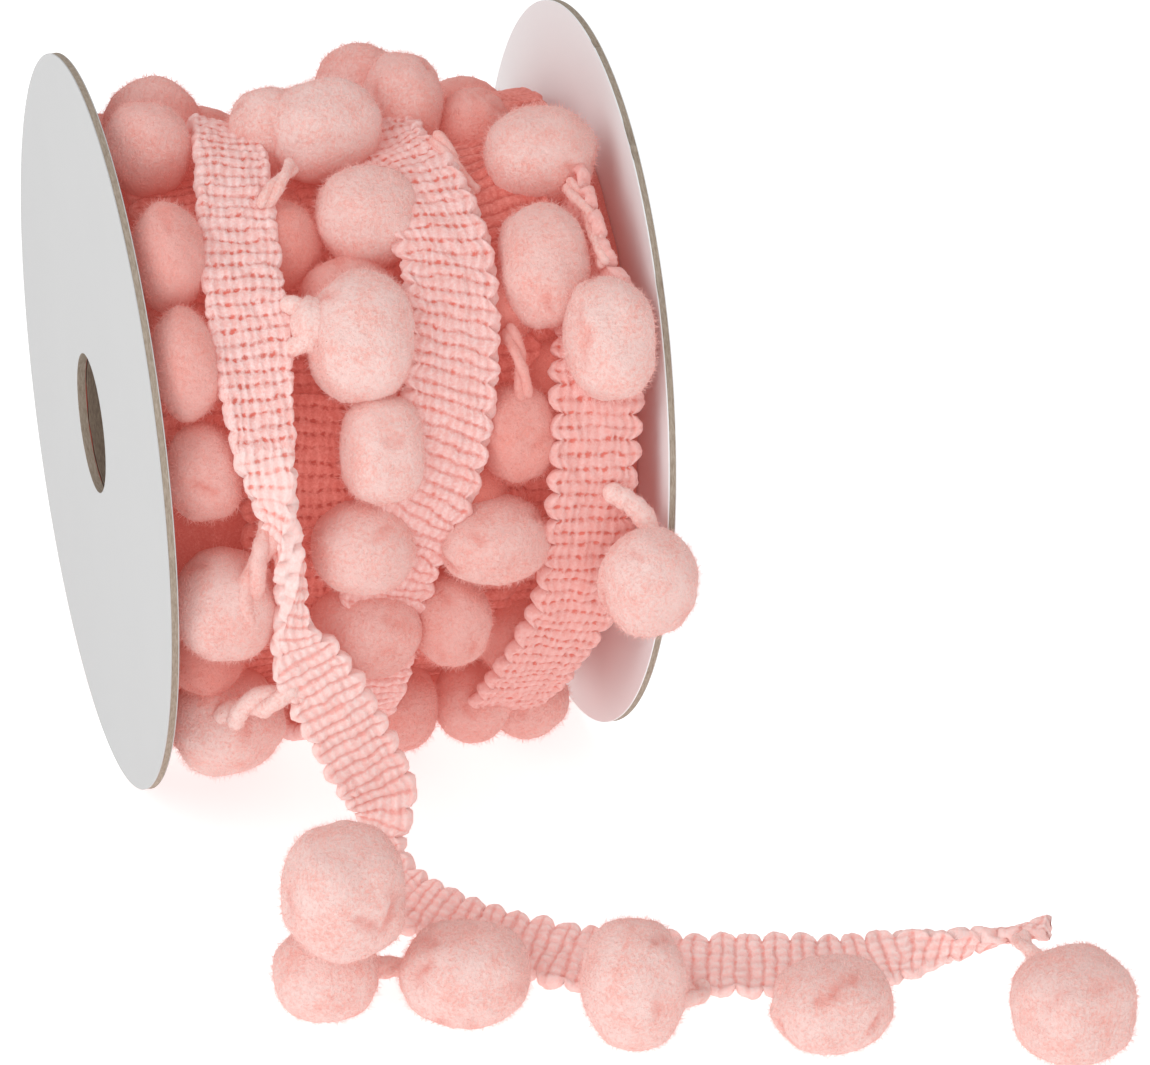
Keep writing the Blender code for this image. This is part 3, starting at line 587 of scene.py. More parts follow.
def ribbon(name, stations, lengths, columns, cords, slant=0.0, deep=0.0):
    # a closed band with rounded edges, where each point lies along and across it, and how much painted shade
    # it carries
    around, rows = columns * 2, len(stations)
    points = []
    told = {key: [] for key in ("along", "across", "rim", "cord", "skew", "sideways", "paintedShade")}
    for index, (centre, facing, width, thickness) in enumerate(stations):
        before = stations[max(0, index - 1)][0]
        after = stations[min(rows - 1, index + 1)][0]
        forwards = (after - before).normalized()
        sideways = forwards.cross(facing).normalized()
        normal = sideways.cross(forwards)
        skew = tape["slant"] * min(1, max(0, (tape["slantBelow"] - width) / tape["slantOver"]))
        for step in range(around):
            turn = math.pi * (step + 0.5) / columns
            share = math.cos(turn)
            place = math.copysign(1 - (1 - abs(share)) ** 1.15, share)
            lift = math.copysign(min(1, abs(math.sin(turn)) * 2.2) ** 0.8, math.sin(turn))
            points.append(centre + sideways * (place * width / 2) + normal * (lift * thickness / 2))
            for key, value in (("along", lengths[index]), ("across", place * width / 2), ("rim", abs(place)),
                               ("cord", cords[index]), ("skew", (skew + slant) * math.copysign(1, lift)),
                               ("sideways", sideways * math.copysign(1, place)), ("paintedShade", deep)):
                told[key].append(value)
    faces = ringFaces(rows, around)
    for start, flip in ((0, True), ((rows - 1) * around, False)):
        for step in range(columns - 1):
            end = start + around - 1 - step
            corners = (start + step, start + step + 1, end - 1, end)
            faces.append(corners[::-1] if flip else corners)
    item = newObject(name, points, faces, told)
    recalculate(item)
    return item


def wovenTree(material):
    # raises crosswise ribs and lengthwise cords on a band, and rounds its edges into lobes of two ribs
    tree, made = newTree("wovenRelief", ["Rib Pitch", "Cord Pitch", "Rib Depth", "Cord Depth", "Pit",
                                         "Scallop"])
    for key in ("along", "across", "rim", "cord", "skew"):
        made[key] = addNode(tree, "GeometryNodeInputNamedAttribute", (key,), data_type="FLOAT")
    sideways = addNode(tree, "GeometryNodeInputNamedAttribute", ("sideways",), data_type="FLOAT_VECTOR")
    normal = addNode(tree, "GeometryNodeInputNormal")
    place = addNode(tree, "GeometryNodeInputPosition")
    made["fuzz"] = addNode(tree, "ShaderNodeTexNoise", {"Vector": place, "Scale": 1300.0, "Detail": 1.0})
    steps = [("ribPlace", "MULTIPLY_ADD", "across", "skew", "along"),
             ("ribPlace", "DIVIDE", "ribPlace", "Rib Pitch"),
             ("cordPlace", "DIVIDE", "across", "Cord Pitch"),
             ("pairPlace", "MULTIPLY", "ribPlace", 0.5)]
    # a rounded wave for each: 1 on a yarn's crown, 0 in the groove beside it
    for key, position, roundness in (("rib", "ribPlace", weave["ribCrown"]), ("lobe", "pairPlace", 1.0),
                                     ("cordCrown", "cordPlace", weave["cordCrown"]),
                                     ("swell", "pairPlace", weave["ribCrown"])):
        steps += [(key, "MULTIPLY", position, math.pi), (key, "SINE", key), (key, "ABSOLUTE", key),
                  (key, "POWER", key, roundness)]
    steps += [("ribBead", "FLOOR", "ribPlace"), ("cordBead", "FLOOR", "cordPlace"),
              ("ribPit", "ROUND", "ribPlace"), ("cordPit", "ROUND", "cordPlace")]
    for key, operation, *inputs in steps:
        made[key] = addNode(tree, "ShaderNodeMath", [made.get(i, i) for i in inputs], operation=operation)
    # every yarn crossing is a little higher or lower, and every pit has its own depth
    for key, rib, cord in (("bead", "ribBead", "cordBead"), ("corner", "ribPit", "cordPit")):
        cell = addNode(tree, "ShaderNodeCombineXYZ", (made[rib], made[cord]))
        made[key] = addNode(tree, "ShaderNodeTexWhiteNoise", {"Vector": cell}, noise_dimensions="3D")
    for key, operation, *inputs in (
            ("rib", "SUBTRACT", "rib", 1.0),
            ("cordLow", "SUBTRACT", "cordCrown", 1.0),
            ("pit", "MULTIPLY", "rib", "cordLow"),
            ("pit", "MULTIPLY", "pit", "corner"),
            ("pit", "MULTIPLY", "pit", "cord"),
            ("pit", "MULTIPLY", "pit", "Pit"),
            # the groove inside a lobe stops short of the edge, the one between two lobes runs out to it
            ("edge", "POWER", "rim", 8.0),
            ("keep", "MULTIPLY", "edge", "lobe"),
            ("keep", "SUBTRACT", 1.0, "keep"),
            ("share", "MULTIPLY_ADD", "cord", weave["gridRib"], 1.0),
            ("rib", "MULTIPLY", "rib", "Rib Depth"),
            ("rib", "MULTIPLY", "rib", "share"),
            ("rib", "MULTIPLY", "rib", "keep"),
            ("height", "MULTIPLY", "cordLow", "Cord Depth"),
            ("height", "SUBTRACT", "height", "pit"),
            ("middle", "SUBTRACT", 1.0, "edge"),
            ("height", "MULTIPLY_ADD", "height", "middle", "rib"),
            ("height", "MULTIPLY_ADD", "bead", weave["bead"], "height"),
            ("height", "MULTIPLY_ADD", "fuzz", weave["fuzz"], "height"),
            ("height", "SUBTRACT", "height", weave["sink"]),
            ("height", "MULTIPLY", "height", mm),
            ("notch", "SUBTRACT", "swell", weave["notch"]),
            ("notch", "MULTIPLY", "notch", "Scallop"),
            ("edge", "POWER", "rim", 4.0),
            ("notch", "MULTIPLY", "notch", "edge"),
            ("notch", "MULTIPLY", "notch", mm)):
        made[key] = addNode(tree, "ShaderNodeMath", [made.get(i, i) for i in inputs], operation=operation)
    push = addNode(tree, "ShaderNodeVectorMath", {0: normal, "Scale": made["height"]}, operation="SCALE")
    widen = addNode(tree, "ShaderNodeVectorMath", {0: sideways, "Scale": made["notch"]}, operation="SCALE")
    # yarns stray a little, so the rows aren't ruled lines
    stray = addNode(tree, "ShaderNodeTexNoise", {"Vector": place, "Scale": 300.0, "Detail": 1.0}).outputs[1]
    stray = addNode(tree, "ShaderNodeVectorMath", (stray, (0.5, 0.5, 0.5)), operation="SUBTRACT")
    stray = addNode(tree, "ShaderNodeVectorMath", {0: stray, "Scale": weave["stray"] * mm}, operation="SCALE")
    move = addNode(tree, "ShaderNodeVectorMath", (push, widen), operation="ADD")
    move = addNode(tree, "ShaderNodeVectorMath", (move, stray), operation="ADD")
    moved = addNode(tree, "GeometryNodeSetPosition", {"Geometry": made["Geometry"], "Offset": move})
    painted = addNode(tree, "GeometryNodeSetMaterial", {"Geometry": moved, "Material": material})
    addNode(tree, "NodeGroupOutput", (painted,))
    return tree


def wovenValues(scallop):
    return {"Rib Pitch": tape["ribPitch"], "Cord Pitch": tape["cordPitch"], "Rib Depth": tape["ribDepth"],
            "Cord Depth": tape["cordDepth"], "Pit": tape["pit"], "Scallop": scallop}


def woundStations(rows, spacing):
    lengths, even = evenRows(rows, lambda row: onReel(row[1], row[0], row[2]), spacing)
    stations, cords = [], []
    for angle, side, reach, width, edge, cord in even:
        alongAxis, _, outwards = reelAxes(angle)
        lean = math.radians(edge)
        facing = outwards * math.cos(lean) - alongAxis * math.sin(lean)
        stations.append((onReel(side, angle, reach), facing, width, tape["thickness"]))
        cords.append(min(1, max(0, cord)))
    return stations, lengths, cords


def makeLooseTape(tree, fuzz, material):
    steps, columns = tape["fine"]
    lengths, even = evenRows(looseTape, lambda row: onFloor(*row[:3]), tape["ribPitch"] / steps)
    stations = [(onFloor(*row[:3]), Vector(row[3:6]), row[6], row[7]) for row in even]
    item = ribbon("loose_tape_woven", stations, lengths, columns, [min(1, max(0, row[8])) for row in even])
    finishSoft(item, material, "loose_tape",
               [(tree, wovenValues(1.3)), (fuzz, pileValues(tapeFuzz["density"], 61, tapeFuzz["length"]))])


pompom = {
    "size": 15.0, "frontDetail": 4, "backDetail": 3,
    "lump": 0.07, "ripple": 0.03, "lumpScale": 1.5, "rippleScale": 4.5,
    "squarePower": 1.6, "squareShrink": 0.035, "dent": 0.05, "dentFrom": 0.75,
    "creases": 6, "creaseWidth": 0.085, "creaseDepth": 0.07,  # width and depth as shares of the radius
    "creaseHalf": (0.1, 0.26), "creaseShare": (0.4, 1.0), "creasePaintedShade": 0.7,
    "flangeGap": 0.12, "floorGap": 0.05, "pastRim": 3, "settled": 0.45, "dentGap": 0.2,
    "pale": 48.5, "deep": 38.5,  # the reach where the painted shade starts, and where it is fullest
    "bareBelow": 2.0,            # how far under its middle a pompom on the reel has no loose fibres
}
# Outer turns: side, angle, reach, across, along, out, lean, how square it is felted, how much painted shade
# it carries
woundPompoms = [
    (-23.0, 104, 41.6, 14.0, 13.0, 13.0, 0, 0.09, 0.35),
    (-27.8, 80, 45.0, 12.5, 13.0, 13.0, 0, 0.05, 0.35),
    (-29.4, 53, 46.0, 9.6, 15.0, 14.0, 0, 0.09, 0.55),
    (-29.8, 34, 45.5, 9.0, 15.5, 14.0, 0, 0.09, 0.5),
    (-28.8, 15, 43.4, 10.8, 13.5, 12.6, 0, 0.05, 0.5),
    (-27.2, -9, 46.3, 13.8, 15.5, 14.6, 10, 0.14, 0.15),
    (-28.5, -27, 41.5, 11.0, 12.0, 12.0, 0, 0.05, 0.75),
    (-25.2, -43, 46.6, 16.0, 16.5, 14.5, 0, 0.18, 0.0),
    (-7.5, 100, 39.5, 10.0, 12.0, 11.0, 0, 0.05, 0.5),
    (-3.7, 77, 46.5, 17.0, 14.0, 14.0, -15, 0.14, 0.0),
    (-10.4, 80, 45.4, 12.0, 12.0, 12.5, 0, 0.05, 0.05),
    (6.0, 98, 44.5, 12.5, 13.0, 12.0, 0, 0.05, 0.35),
    (10.0, 87, 44.0, 11.0, 15.0, 15.0, 0, 0.09, 0.25),
    (-0.9, 57, 45.0, 14.7, 14.4, 14.0, 0, 0.09, 0.1),
    (-13.5, 56, 42.0, 12.0, 12.5, 12.0, 0, 0.05, 0.7),
    (-5.4, 43, 42.0, 13.6, 12.0, 12.0, 0, 0.05, 0.5),
    (-6.3, 34, 49.0, 14.5, 18.0, 15.0, 10, 0.23, 0.0),
    (-5.1, 16, 48.0, 11.3, 15.0, 13.0, 5, 0.27, 0.05),
    (-8.0, -1, 46.5, 13.8, 13.0, 14.0, 0, 0.14, 0.15),
    (-6.9, -20, 45.0, 15.4, 14.8, 14.0, 15, 0.14, 0.35),
    (1.4, -52, 46.2, 10.5, 12.8, 12.8, 0, 0.05, 0.5),
    (19.3, 82, 41.0, 10.6, 12.0, 12.0, 0, 0.05, 0.5),
    (24.8, 65, 45.5, 16.0, 13.5, 14.0, 0, 0.18, 0.12),
    (21.1, 43, 46.5, 12.5, 17.4, 14.0, 5, 0.18, 0.2),
    (15.1, 38, 41.0, 10.0, 11.0, 12.0, 0, 0.05, 0.85),
    (14.7, 15, 44.0, 11.4, 13.3, 13.0, 0, 0.14, 0.65),
    (21.5, 23, 40.0, 9.0, 11.0, 11.0, 0, 0.05, 1.0),
    (8.6, 4, 41.0, 10.0, 9.0, 11.0, 0, 0.05, 1.0),
    (10.1, -3, 46.5, 15.8, 11.7, 13.0, 5, 0.18, 0.25),
    (5.0, -20, 45.5, 11.0, 14.4, 13.0, 0, 0.09, 0.45),
    (16.0, -33, 43.0, 10.0, 12.6, 12.0, 0, 0.05, 0.5),
    (12.0, -53, 46.7, 11.4, 12.3, 12.5, 0, 0.05, 0.4),
    (21.4, -60, 47.4, 12.1, 11.0, 11.5, 0, 0.05, 0.35),
    (27.3, 29, 51.0, 12.7, 17.3, 14.0, 0, 0.18, 0.0),
    (28.8, -5.8, 58.5, 13.3, 14.7, 14.0, 0, 0.09, 0.0),
]
# Columns round the back: side, first angle, step, count, reach
backColumns = [
    (-26.3, 126, 21, 8, 42.5),
    (-14.0, 132, 24, 6, 42.0),
    (-1.0, 122, 22, 8, 42.5),
    (14.0, 120, 24, 7, 41.5),
    (26.3, 128, 21, 8, 42.0),
]
# Loose end: x, y, how far they stand off the floor, sizes along X, along Y and up, a turn about Z, row and
# edge of the loose tape where the stem starts, and how square. The first sits on the second and dents it
loosePompoms = [
    (-20.5, -82.0, 11.4, 15.6, 15.2, 17.8, 10, 13.4, -1, 0.45),
    (-22.6, -78.8, 0.0, 14.2, 13.2, 12.4, 0, 14.8, -1, 0.15),
    (-5.0, -85.2, 0.0, 17.4, 14.0, 13.6, -20, 15.4, -1, 0.3),
    (15.0, -97.0, 0.0, 13.6, 15.0, 17.6, 0, 18.2, -1, 0.25),
    (39.8, -105.4, 0.0, 15.8, 13.8, 12.0, 0, 20.1, -1, 0.35),
    (69.2, -117.0, 0.0, 15.8, 15.6, 15.2, 15, 24.5, 1, 0.4),
]


def ballMesh(detail):
    shape = bmesh.new()
    bmesh.ops.create_icosphere(shape, subdivisions=detail, radius=1)
    points = np.array([v.co[:] for v in shape.verts])
    faces = [tuple(v.index for v in f.verts) for f in shape.faces]
    shape.free()
    return points, faces


balls = {detail: ballMesh(detail) for detail in (pompom["backDetail"], pompom["frontDetail"])}


def feltedBall(centre, axes, sizes, square, seed, detail):
    # a ball of felted yarn: blunt, a little square, dented where its yarn was tied, with a few short creases
    # that carry painted shade
    directions, faces = balls[detail]
    power = 2 + pompom["squarePower"] * square
    shift = Vector((seed * 7.31, seed * 3.17, seed * 1.73))
    dent = Vector((math.sin(seed * 2.1), math.cos(seed * 1.3), math.sin(seed * 0.7 + 1))).normalized()
    reach = (np.abs(directions) ** power).sum(axis=1) ** (-1 / power) * (1 - pompom["squareShrink"] * square)
    lumps = [[noise.noise(Vector(d) * pompom[key] + shift) for key in ("lumpScale", "rippleScale")]
             for d in directions]
    reach *= 1 + np.array(lumps) @ (pompom["lump"], pompom["ripple"])
    dented = np.clip(directions @ dent - pompom["dentFrom"], 0, None) / (1 - pompom["dentFrom"])
    reach *= 1 - pompom["dent"] * dented
    chance = random.Random(seed)
    creased = np.zeros(len(directions))
    for _ in range(pompom["creases"]):
        middle = Vector([chance.gauss(0, 1) for _ in range(3)]).normalized()
        line = middle.cross(Vector([chance.gauss(0, 1) for _ in range(3)])).normalized()
        past = np.clip(np.abs(directions @ line) - chance.uniform(*pompom["creaseHalf"]), 0, None)
        away = np.hypot(past, directions @ middle.cross(line)) / pompom["creaseWidth"]
        share = np.exp(-away ** 2) * (directions @ middle > 0) * chance.uniform(*pompom["creaseShare"])
        creased = np.maximum(creased, share)
    reach *= 1 - pompom["creaseDepth"] * creased
    local = directions * reach[:, None] * np.array(sizes) / 2
    places = [centre + sum((axis * share for axis, share in zip(axes, row)), Vector()) for row in local]
    return places, faces, pompom["creasePaintedShade"] * creased


def pressBetweenDiscs(place):
    # a pompom that meets a disc goes flat against it
    local = place - reelMiddle
    if math.hypot(local.y, local.z) > reel["radius"] + pompom["pastRim"]:
        return place
    inside = reelInside - pompom["flangeGap"]
    low = -inside + discOffset("flange_left", local.y, local.z)
    high = inside + discOffset("flange_right", local.y, local.z)
    return Vector((reelMiddle.x + min(high, max(low, local.x)), place.y, max(place.z, pompom["floorGap"])))


def ballsObject(name, parts, bareBelow=99.0):
    # one mesh of all the parts, with a share of painted shade for each point: more the further down in the
    # roll it lies, with its part's own painted shade and crease shade on top
    points, faces, paintedShade, bare = [], [], [], []
    for places, partFaces, creased in parts:
        start = len(points)
        points.extend(places)
        faces.extend(tuple(i + start for i in f) for f in partFaces)
        reach = np.array([math.hypot(p.y - reelMiddle.y, p.z - reelMiddle.z) for p in places])
        depth = np.clip((pompom["pale"] - reach) / (pompom["pale"] - pompom["deep"]), 0, 1)
        depth = depth * depth * (3 - 2 * depth)
        paintedShade.extend(1 - (1 - depth) * (1 - creased))
        bare.extend((reach < reach.mean() - bareBelow).astype(float))
    return newObject(name, points, faces, {"paintedShade": paintedShade, "bare": bare})


def reelBall(row, seed, detail):
    side, angle, reach, across, along, out, lean, square, deep = row
    alongAxis, upTurn, outwards = reelAxes(angle)
    swing = math.radians(lean)
    axes = (alongAxis * math.cos(swing) - upTurn * math.sin(swing),
            alongAxis * math.sin(swing) + upTurn * math.cos(swing), outwards)
    places, faces, creased = feltedBall(onReel(side, angle, reach), axes, (across, along, out), square, seed,
                                        detail)
    # painted shade: the crease shade, and the pompom's own share of painted shade for lying deep among the
    # others
    return [pressBetweenDiscs(p) for p in places], faces, 1 - (1 - creased) * (1 - deep)


backLook = {
    "drop": 5.5, "dropFrom": 112, "dropOver": 34,  # the first ones behind the top lie deeper in the roll
    "sag": 2.5, "sizes": (0.88, 1.06), "turn": 2, "reach": 1, "side": 1.2, "lean": 25, "square": 0.25,
    # deep is the back pompoms' share of painted shade
    "deep": 0.2, "floorGap": 0.6, "firstHalf": 19,
}


def backRows():
    # lower on top, fuller underneath, and a little uneven
    chance = random.Random(11)
    look = backLook
    rows = []
    widest = reelInside - 0.3
    for side, first, step, count, reach in backColumns:
        for index in range(count):
            angle = first + index * step + chance.uniform(-look["turn"], look["turn"])
            height = math.sin(math.radians(angle))
            dropped = look["drop"] * max(0, 1 - (angle - look["dropFrom"]) / look["dropOver"])
            out = reach - look["sag"] * height - dropped + chance.uniform(-look["reach"], look["reach"])
            sizes = [pompom["size"] * chance.uniform(*look["sizes"]) for _ in range(3)]
            lowest = (reelMiddle.z - look["floorGap"] - max(sizes) / 2) / max(0.3, -height)
            out = min(out, lowest)
            limit = widest - max(sizes[:2]) / 2
            place = side + chance.uniform(-look["side"], look["side"])
            tip = onReel(place, angle, out + sizes[2] / 2) - reelMiddle
            bend = min(0, discOffset("flange_right", tip.y, tip.z))
            place = max(-limit, min(limit + bend, place))
            lean = chance.uniform(-look["lean"], look["lean"])
            rows.append((place, angle, out, *sizes, lean, look["square"], look["deep"]))
    return rows


pile = {
    "frontDensity": 4.6, "backDensity": 1.2,  # fibres on a square millimetre
    "length": 1.25, "width": 0.062, "lean": 55.0, "spread": 32.0,
}
tapeFuzz = {"density": 1.3, "length": 0.45}  # length as a share of the pompoms' fibres


def pileTree(material, fibreMaterial):
    # short loose fibres that stand off a felted surface
    tree, made = newTree("pompomPile", ["Density", "Fibre Length", "Fibre Width", "Lean", "Spread"], ["Seed"])
    # none stand on the side of a pompom that faces into the roll
    bare = addNode(tree, "GeometryNodeInputNamedAttribute", ("bare",), data_type="FLOAT")
    shown = addNode(tree, "ShaderNodeMath", (1.0, bare), operation="SUBTRACT", use_clamp=True)
    density = addNode(tree, "ShaderNodeMath", (made["Density"], shown), operation="MULTIPLY")
    points = addNode(tree, "GeometryNodeDistributePointsOnFaces",
                     {"Mesh": made["Geometry"], "Density": density, "Seed": made["Seed"]})
    # one fibre, a closed three-sided spike that is rooted a little under the surface
    spike = addNode(tree, "GeometryNodeMeshCone", {"Vertices": 3, "Radius Top": 0.0, "Radius Bottom": 0.5,
                                                   "Depth": 1.0})
    thickness = addNode(tree, "ShaderNodeCombineXYZ", (made["Fibre Width"], made["Fibre Width"],
                                                       made["Fibre Length"]))
    root = addNode(tree, "ShaderNodeVectorMath", (thickness, (0.0, 0.0, -0.12)), operation="MULTIPLY")
    shaped = addNode(tree, "GeometryNodeTransform", {"Geometry": spike, "Translation": root,
                                                     "Scale": thickness})
    # each stands at its own lean, turn and length
    chance = addNode(tree, "FunctionNodeRandomValue", {"Min": (-1.0, -1.0, 0.0), "Max": (1.0, 1.0, 1.0),
                                                       "Seed": made["Seed"]}, data_type="FLOAT_VECTOR")
    parts = addNode(tree, "ShaderNodeSeparateXYZ", (chance,)).outputs
    made.update(zip("XYZ", parts))
    for key, operation, *inputs in (
            ("lean", "MULTIPLY_ADD", "X", "Spread", "Lean"),
            ("lean", "RADIANS", "lean"),
            ("turn", "MULTIPLY", "Y", math.pi),
            ("size", "MULTIPLY_ADD", "Z", 0.8, 0.5)):
        made[key] = addNode(tree, "ShaderNodeMath", [made.get(i, i) for i in inputs], operation=operation)
    swing = addNode(tree, "ShaderNodeCombineXYZ", {"X": made["lean"], "Z": made["turn"]})
    swing = addNode(tree, "FunctionNodeEulerToRotation", (swing,))
    facing = addNode(tree, "FunctionNodeRotateRotation", (points.outputs["Rotation"], swing),
                     rotation_space="LOCAL")
    placed = addNode(tree, "GeometryNodeInstanceOnPoints",
                     {"Points": points, "Instance": shaped, "Rotation": facing, "Scale": made["size"]})
    real = addNode(tree, "GeometryNodeRealizeInstances", (placed,))
    fibres = addNode(tree, "GeometryNodeSetMaterial", {"Geometry": real, "Material": fibreMaterial})
    body = addNode(tree, "GeometryNodeSetMaterial", {"Geometry": made["Geometry"], "Material": material})
    joined = addNode(tree, "GeometryNodeJoinGeometry", (fibres,))
    tree.links.new(body.outputs[0], joined.inputs[0])
    addNode(tree, "NodeGroupOutput", (joined,))
    return tree


def pileValues(density, seed, lengthShare=1.0):
    return {"Density": density * 1e6, "Fibre Length": pile["length"] * lengthShare * mm,
            "Fibre Width": pile["width"] * mm, "Lean": pile["lean"], "Spread": pile["spread"], "Seed": seed}


# Pieces on the front: name, first row of the table and the one after its last
frontGroups = [("left", 0, 9), ("middle", 9, 15), ("lower", 15, 21), ("right", 21, 28), ("edge", 28, 35)]


def makePompoms(tree, material):
    back, half = backRows(), backLook["firstHalf"]
    batches = [("pompoms_" + name, woundPompoms[first:end], first + 1, "front", seed)
               for seed, (name, first, end) in enumerate(frontGroups)]
    batches += [("pompoms_back_1", back[:half], 50, "back", 10),
                ("pompoms_back_2", back[half:], 70, "back", 11)]
    for name, rows, firstSeed, where, seed in batches:
        parts = [reelBall(row, firstSeed + i, pompom[where + "Detail"]) for i, row in enumerate(rows)]
        item = ballsObject(name, parts, pompom["bareBelow"])
        finishSoft(item, material, "wound_trim",
                   [(tree, pileValues(pile[where + "Density"], seed))])
        print(item.name, len(item.data.polygons), "faces")


def looseBallPlace(row):
    x, y, lift, _, _, tall, turn = row[:7]
    swing = math.radians(turn)
    axes = (Vector((math.cos(swing), math.sin(swing), 0)), Vector((-math.sin(swing), math.cos(swing), 0)),
            Vector((0, 0, 1)))
    return onFloor(x, y, lift + tall / 2 - pompom["settled"]), axes


def dented(place, row):
    # moves a place out of the pompom that presses on it
    centre, axes = looseBallPlace(row)
    out = place - centre
    halves = [size / 2 + pompom["dentGap"] for size in row[3:6]]
    depth = Vector([out.dot(axis) / half for axis, half in zip(axes, halves)]).length
    return centre + out / depth if depth < 1 else place


def makeLoosePompoms(tree, material):
    made = []
    for index, row in enumerate(loosePompoms):
        centre, axes = looseBallPlace(row)
        places, faces, creased = feltedBall(centre, axes, row[3:6], row[9], 90 + index, pompom["frontDetail"])
        if index == 1:
            places = [dented(place, loosePompoms[0]) for place in places]
        for place in places:
            place.z = max(place.z, pompom["floorGap"])
        item = ballsObject("loose_pompom_ball_%d" % (index + 1), [(places, faces, creased)])
        finishSoft(item, material, "loose_pompom_%d" % (index + 1),
                   [(tree, pileValues(pile["frontDensity"], 40 + index))])
        made.append(item)
    return made


inner = {
    "radius": 38.0, "sag": 1.5, "lump": 1.3, "lumpPitch": 7, "lumpsRound": 5.5, "gap": 0.25,
    "around": 150, "rows": 56,
    "turnPitch": 12.6, "turnReach": 40.2, "turnStep": 15, "turnSide": 6.5,  # step in degrees
}
# Tape that shows between the pompoms, as runs of side, angle, reach, edge and cord
innerTape = [
    [(-10.6, 26, 40.5, 0, 1.0), (-12.0, 17, 41.5, 0, 1.0), (-13.0, 8, 42.5, 0, 1.0), (-13.4, 0, 42.5, 0, 1.0),
     (-13.6, -9, 42.0, 0, 1.0), (-13.6, -18, 41.0, 0, 1.0)],
    [(15.0, 76, 41.0, 0, 0.2), (16.2, 68, 43.5, 0, 0.2), (17.3, 61, 44.5, 0, 0.2), (18.6, 54, 44.0, 0, 0.2),
     (19.4, 46, 42.0, 0, 0.2), (20.0, 36, 40.5, 0, 0.3), (21.0, 28, 40.5, 0, 0.3)],
    [(12.6, 36, 40.5, 0, 0.2), (13.3, 29, 42.0, 0, 0.2), (13.2, 22, 41.5, 0, 0.2), (12.0, 10, 41.0, 0, 0.3)],
]


def makeInnerTurns(tree, material):
    # a soft packed core of turns, seen only between the pompoms, in a copy of the tape painted in shade, as
    # dark coral
    end = reelInside - inner["gap"]
    rows, around = inner["rows"], inner["around"]
    bore = tube["radius"] + tube["wall"] + inner["gap"]
    points = []
    for share, inside in [(1 - 2 * row / rows, 0) for row in range(rows + 1)] + [(-1, bore), (1, bore)]:
        for step in range(around):
            turn = 2 * math.pi * step / around
            side = share * end
            lumps = noise.noise(Vector((side / inner["lumpPitch"], math.cos(turn) * inner["lumpsRound"],
                                        math.sin(turn) * inner["lumpsRound"])))
            reach = inside or inner["radius"] - inner["sag"] * math.sin(turn) + inner["lump"] * lumps
            y, z = -reach * math.cos(turn), reach * math.sin(turn)
            limit = discOffset("flange_right" if share > 0 else "flange_left", y, z)
            points.append(reelMiddle + Vector((side + abs(share) * limit, y, z)))
    body = newObject("inner_turns", points, ringFaces(rows + 3, around, closed=True))
    recalculate(body)
    finishPiece(body, material, "wound_trim")
    rows = []
    angle, side = 20.0, -end + inner["turnSide"]
    while side < end - inner["turnSide"]:
        lean = 0.5 * math.sin(math.radians(angle * 1.7))
        reach = inner["turnReach"] + lean - inner["sag"] * math.sin(math.radians(angle))
        rows.append((angle, side + 1.2 * math.sin(math.radians(angle * 0.77)), reach, tape["width"], 0, 0.5))
        angle += inner["turnStep"]
        side += inner["turnPitch"] * inner["turnStep"] / 360
    runs = [("inner_tape", rows, 3, 9, 0.8)]
    for index, run in enumerate(innerTape):
        rows = [(angle, side, reach, tape["width"], edge, cord) for side, angle, reach, edge, cord in run]
        runs.append(("inner_tape_run_%d" % (index + 1), rows, 6, 24, 0.9))
    for name, rows, steps, columns, scallop in runs:
        stations, lengths, cords = woundStations(rows, tape["ribPitch"] / steps)
        finishSoft(ribbon(name, stations, lengths, columns, cords), material, "wound_trim",
                   [(tree, wovenValues(scallop))])


# Stretches of the outer tape: name, first and last angle, how finely made, scallop, slant, how much painted
# shade
woundStretches = [
    ("wound_tape_left", 18, 100, "fine", 0.4, 0.0, 0.0),
    ("wound_tape_back", 99, 346, "coarse", 0.8, 0.0, 0.1),
    ("wound_tape_middle", 344, 446, "fine", 1.8, 0.2, 0.12),
    ("wound_tape_under", 445, 667, "coarse", 0.8, 0.0, 0.1),
    ("wound_tape_right", 665, 785, "fine", 1.6, 0.0, 0.42),
]


def makeWoundTape(tree, fuzz, material):
    # fine and fuzzy where it shows in front, coarser round the back
    angles = np.array([row[0] for row in woundTape])
    for seed, (name, low, high, detail, scallop, slant, deep) in enumerate(woundStretches):
        steps, columns = tape[detail]
        first, last = (float(np.interp(a, angles, range(len(angles)))) for a in (low, high))
        count = max(4, int((last - first) * 3))
        rows = [smoothRow(woundTape, p) for p in np.linspace(first, last, count + 1)]
        stations, lengths, cords = woundStations(rows, tape["ribPitch"] / steps)
        item = ribbon(name, stations, lengths + woundLength(low), columns, cords, slant, deep)
        runs = [(tree, wovenValues(scallop))]
        if detail == "fine":
            runs.append((fuzz, pileValues(tapeFuzz["density"], 60 + seed, tapeFuzz["length"])))
        finishSoft(item, material, "wound_trim", runs)


def woundLength(angle):
    # rib phase carries on from one stretch of tape to the next
    pair = 2 * tape["ribPitch"]
    return round(math.radians(angle) * tape["wrapReach"] / pair) * pair


stem = {
    "radius": 1.35, "twistPitch": 15.0, "sides": 12, "step": 0.35, "plyShare": 0.7, "plyOffset": 0.48,
    "swell": 0.22, "swellScale": 0.9, "fibreDensity": 4.0, "fibreShare": 0.7,
    "looseWidths": [0.85, 0.8, 1.1, 1.1, 0.9, 0.8],  # as shares of the radius
    # past the tape's edge, least height there, share of the way to the pompom's middle
    "looseRoot": (-1.0, 1.4), "looseOut": (1.6, 1.6), "looseWay": (0.35, 0.75), "looseTaper": -0.35,
}
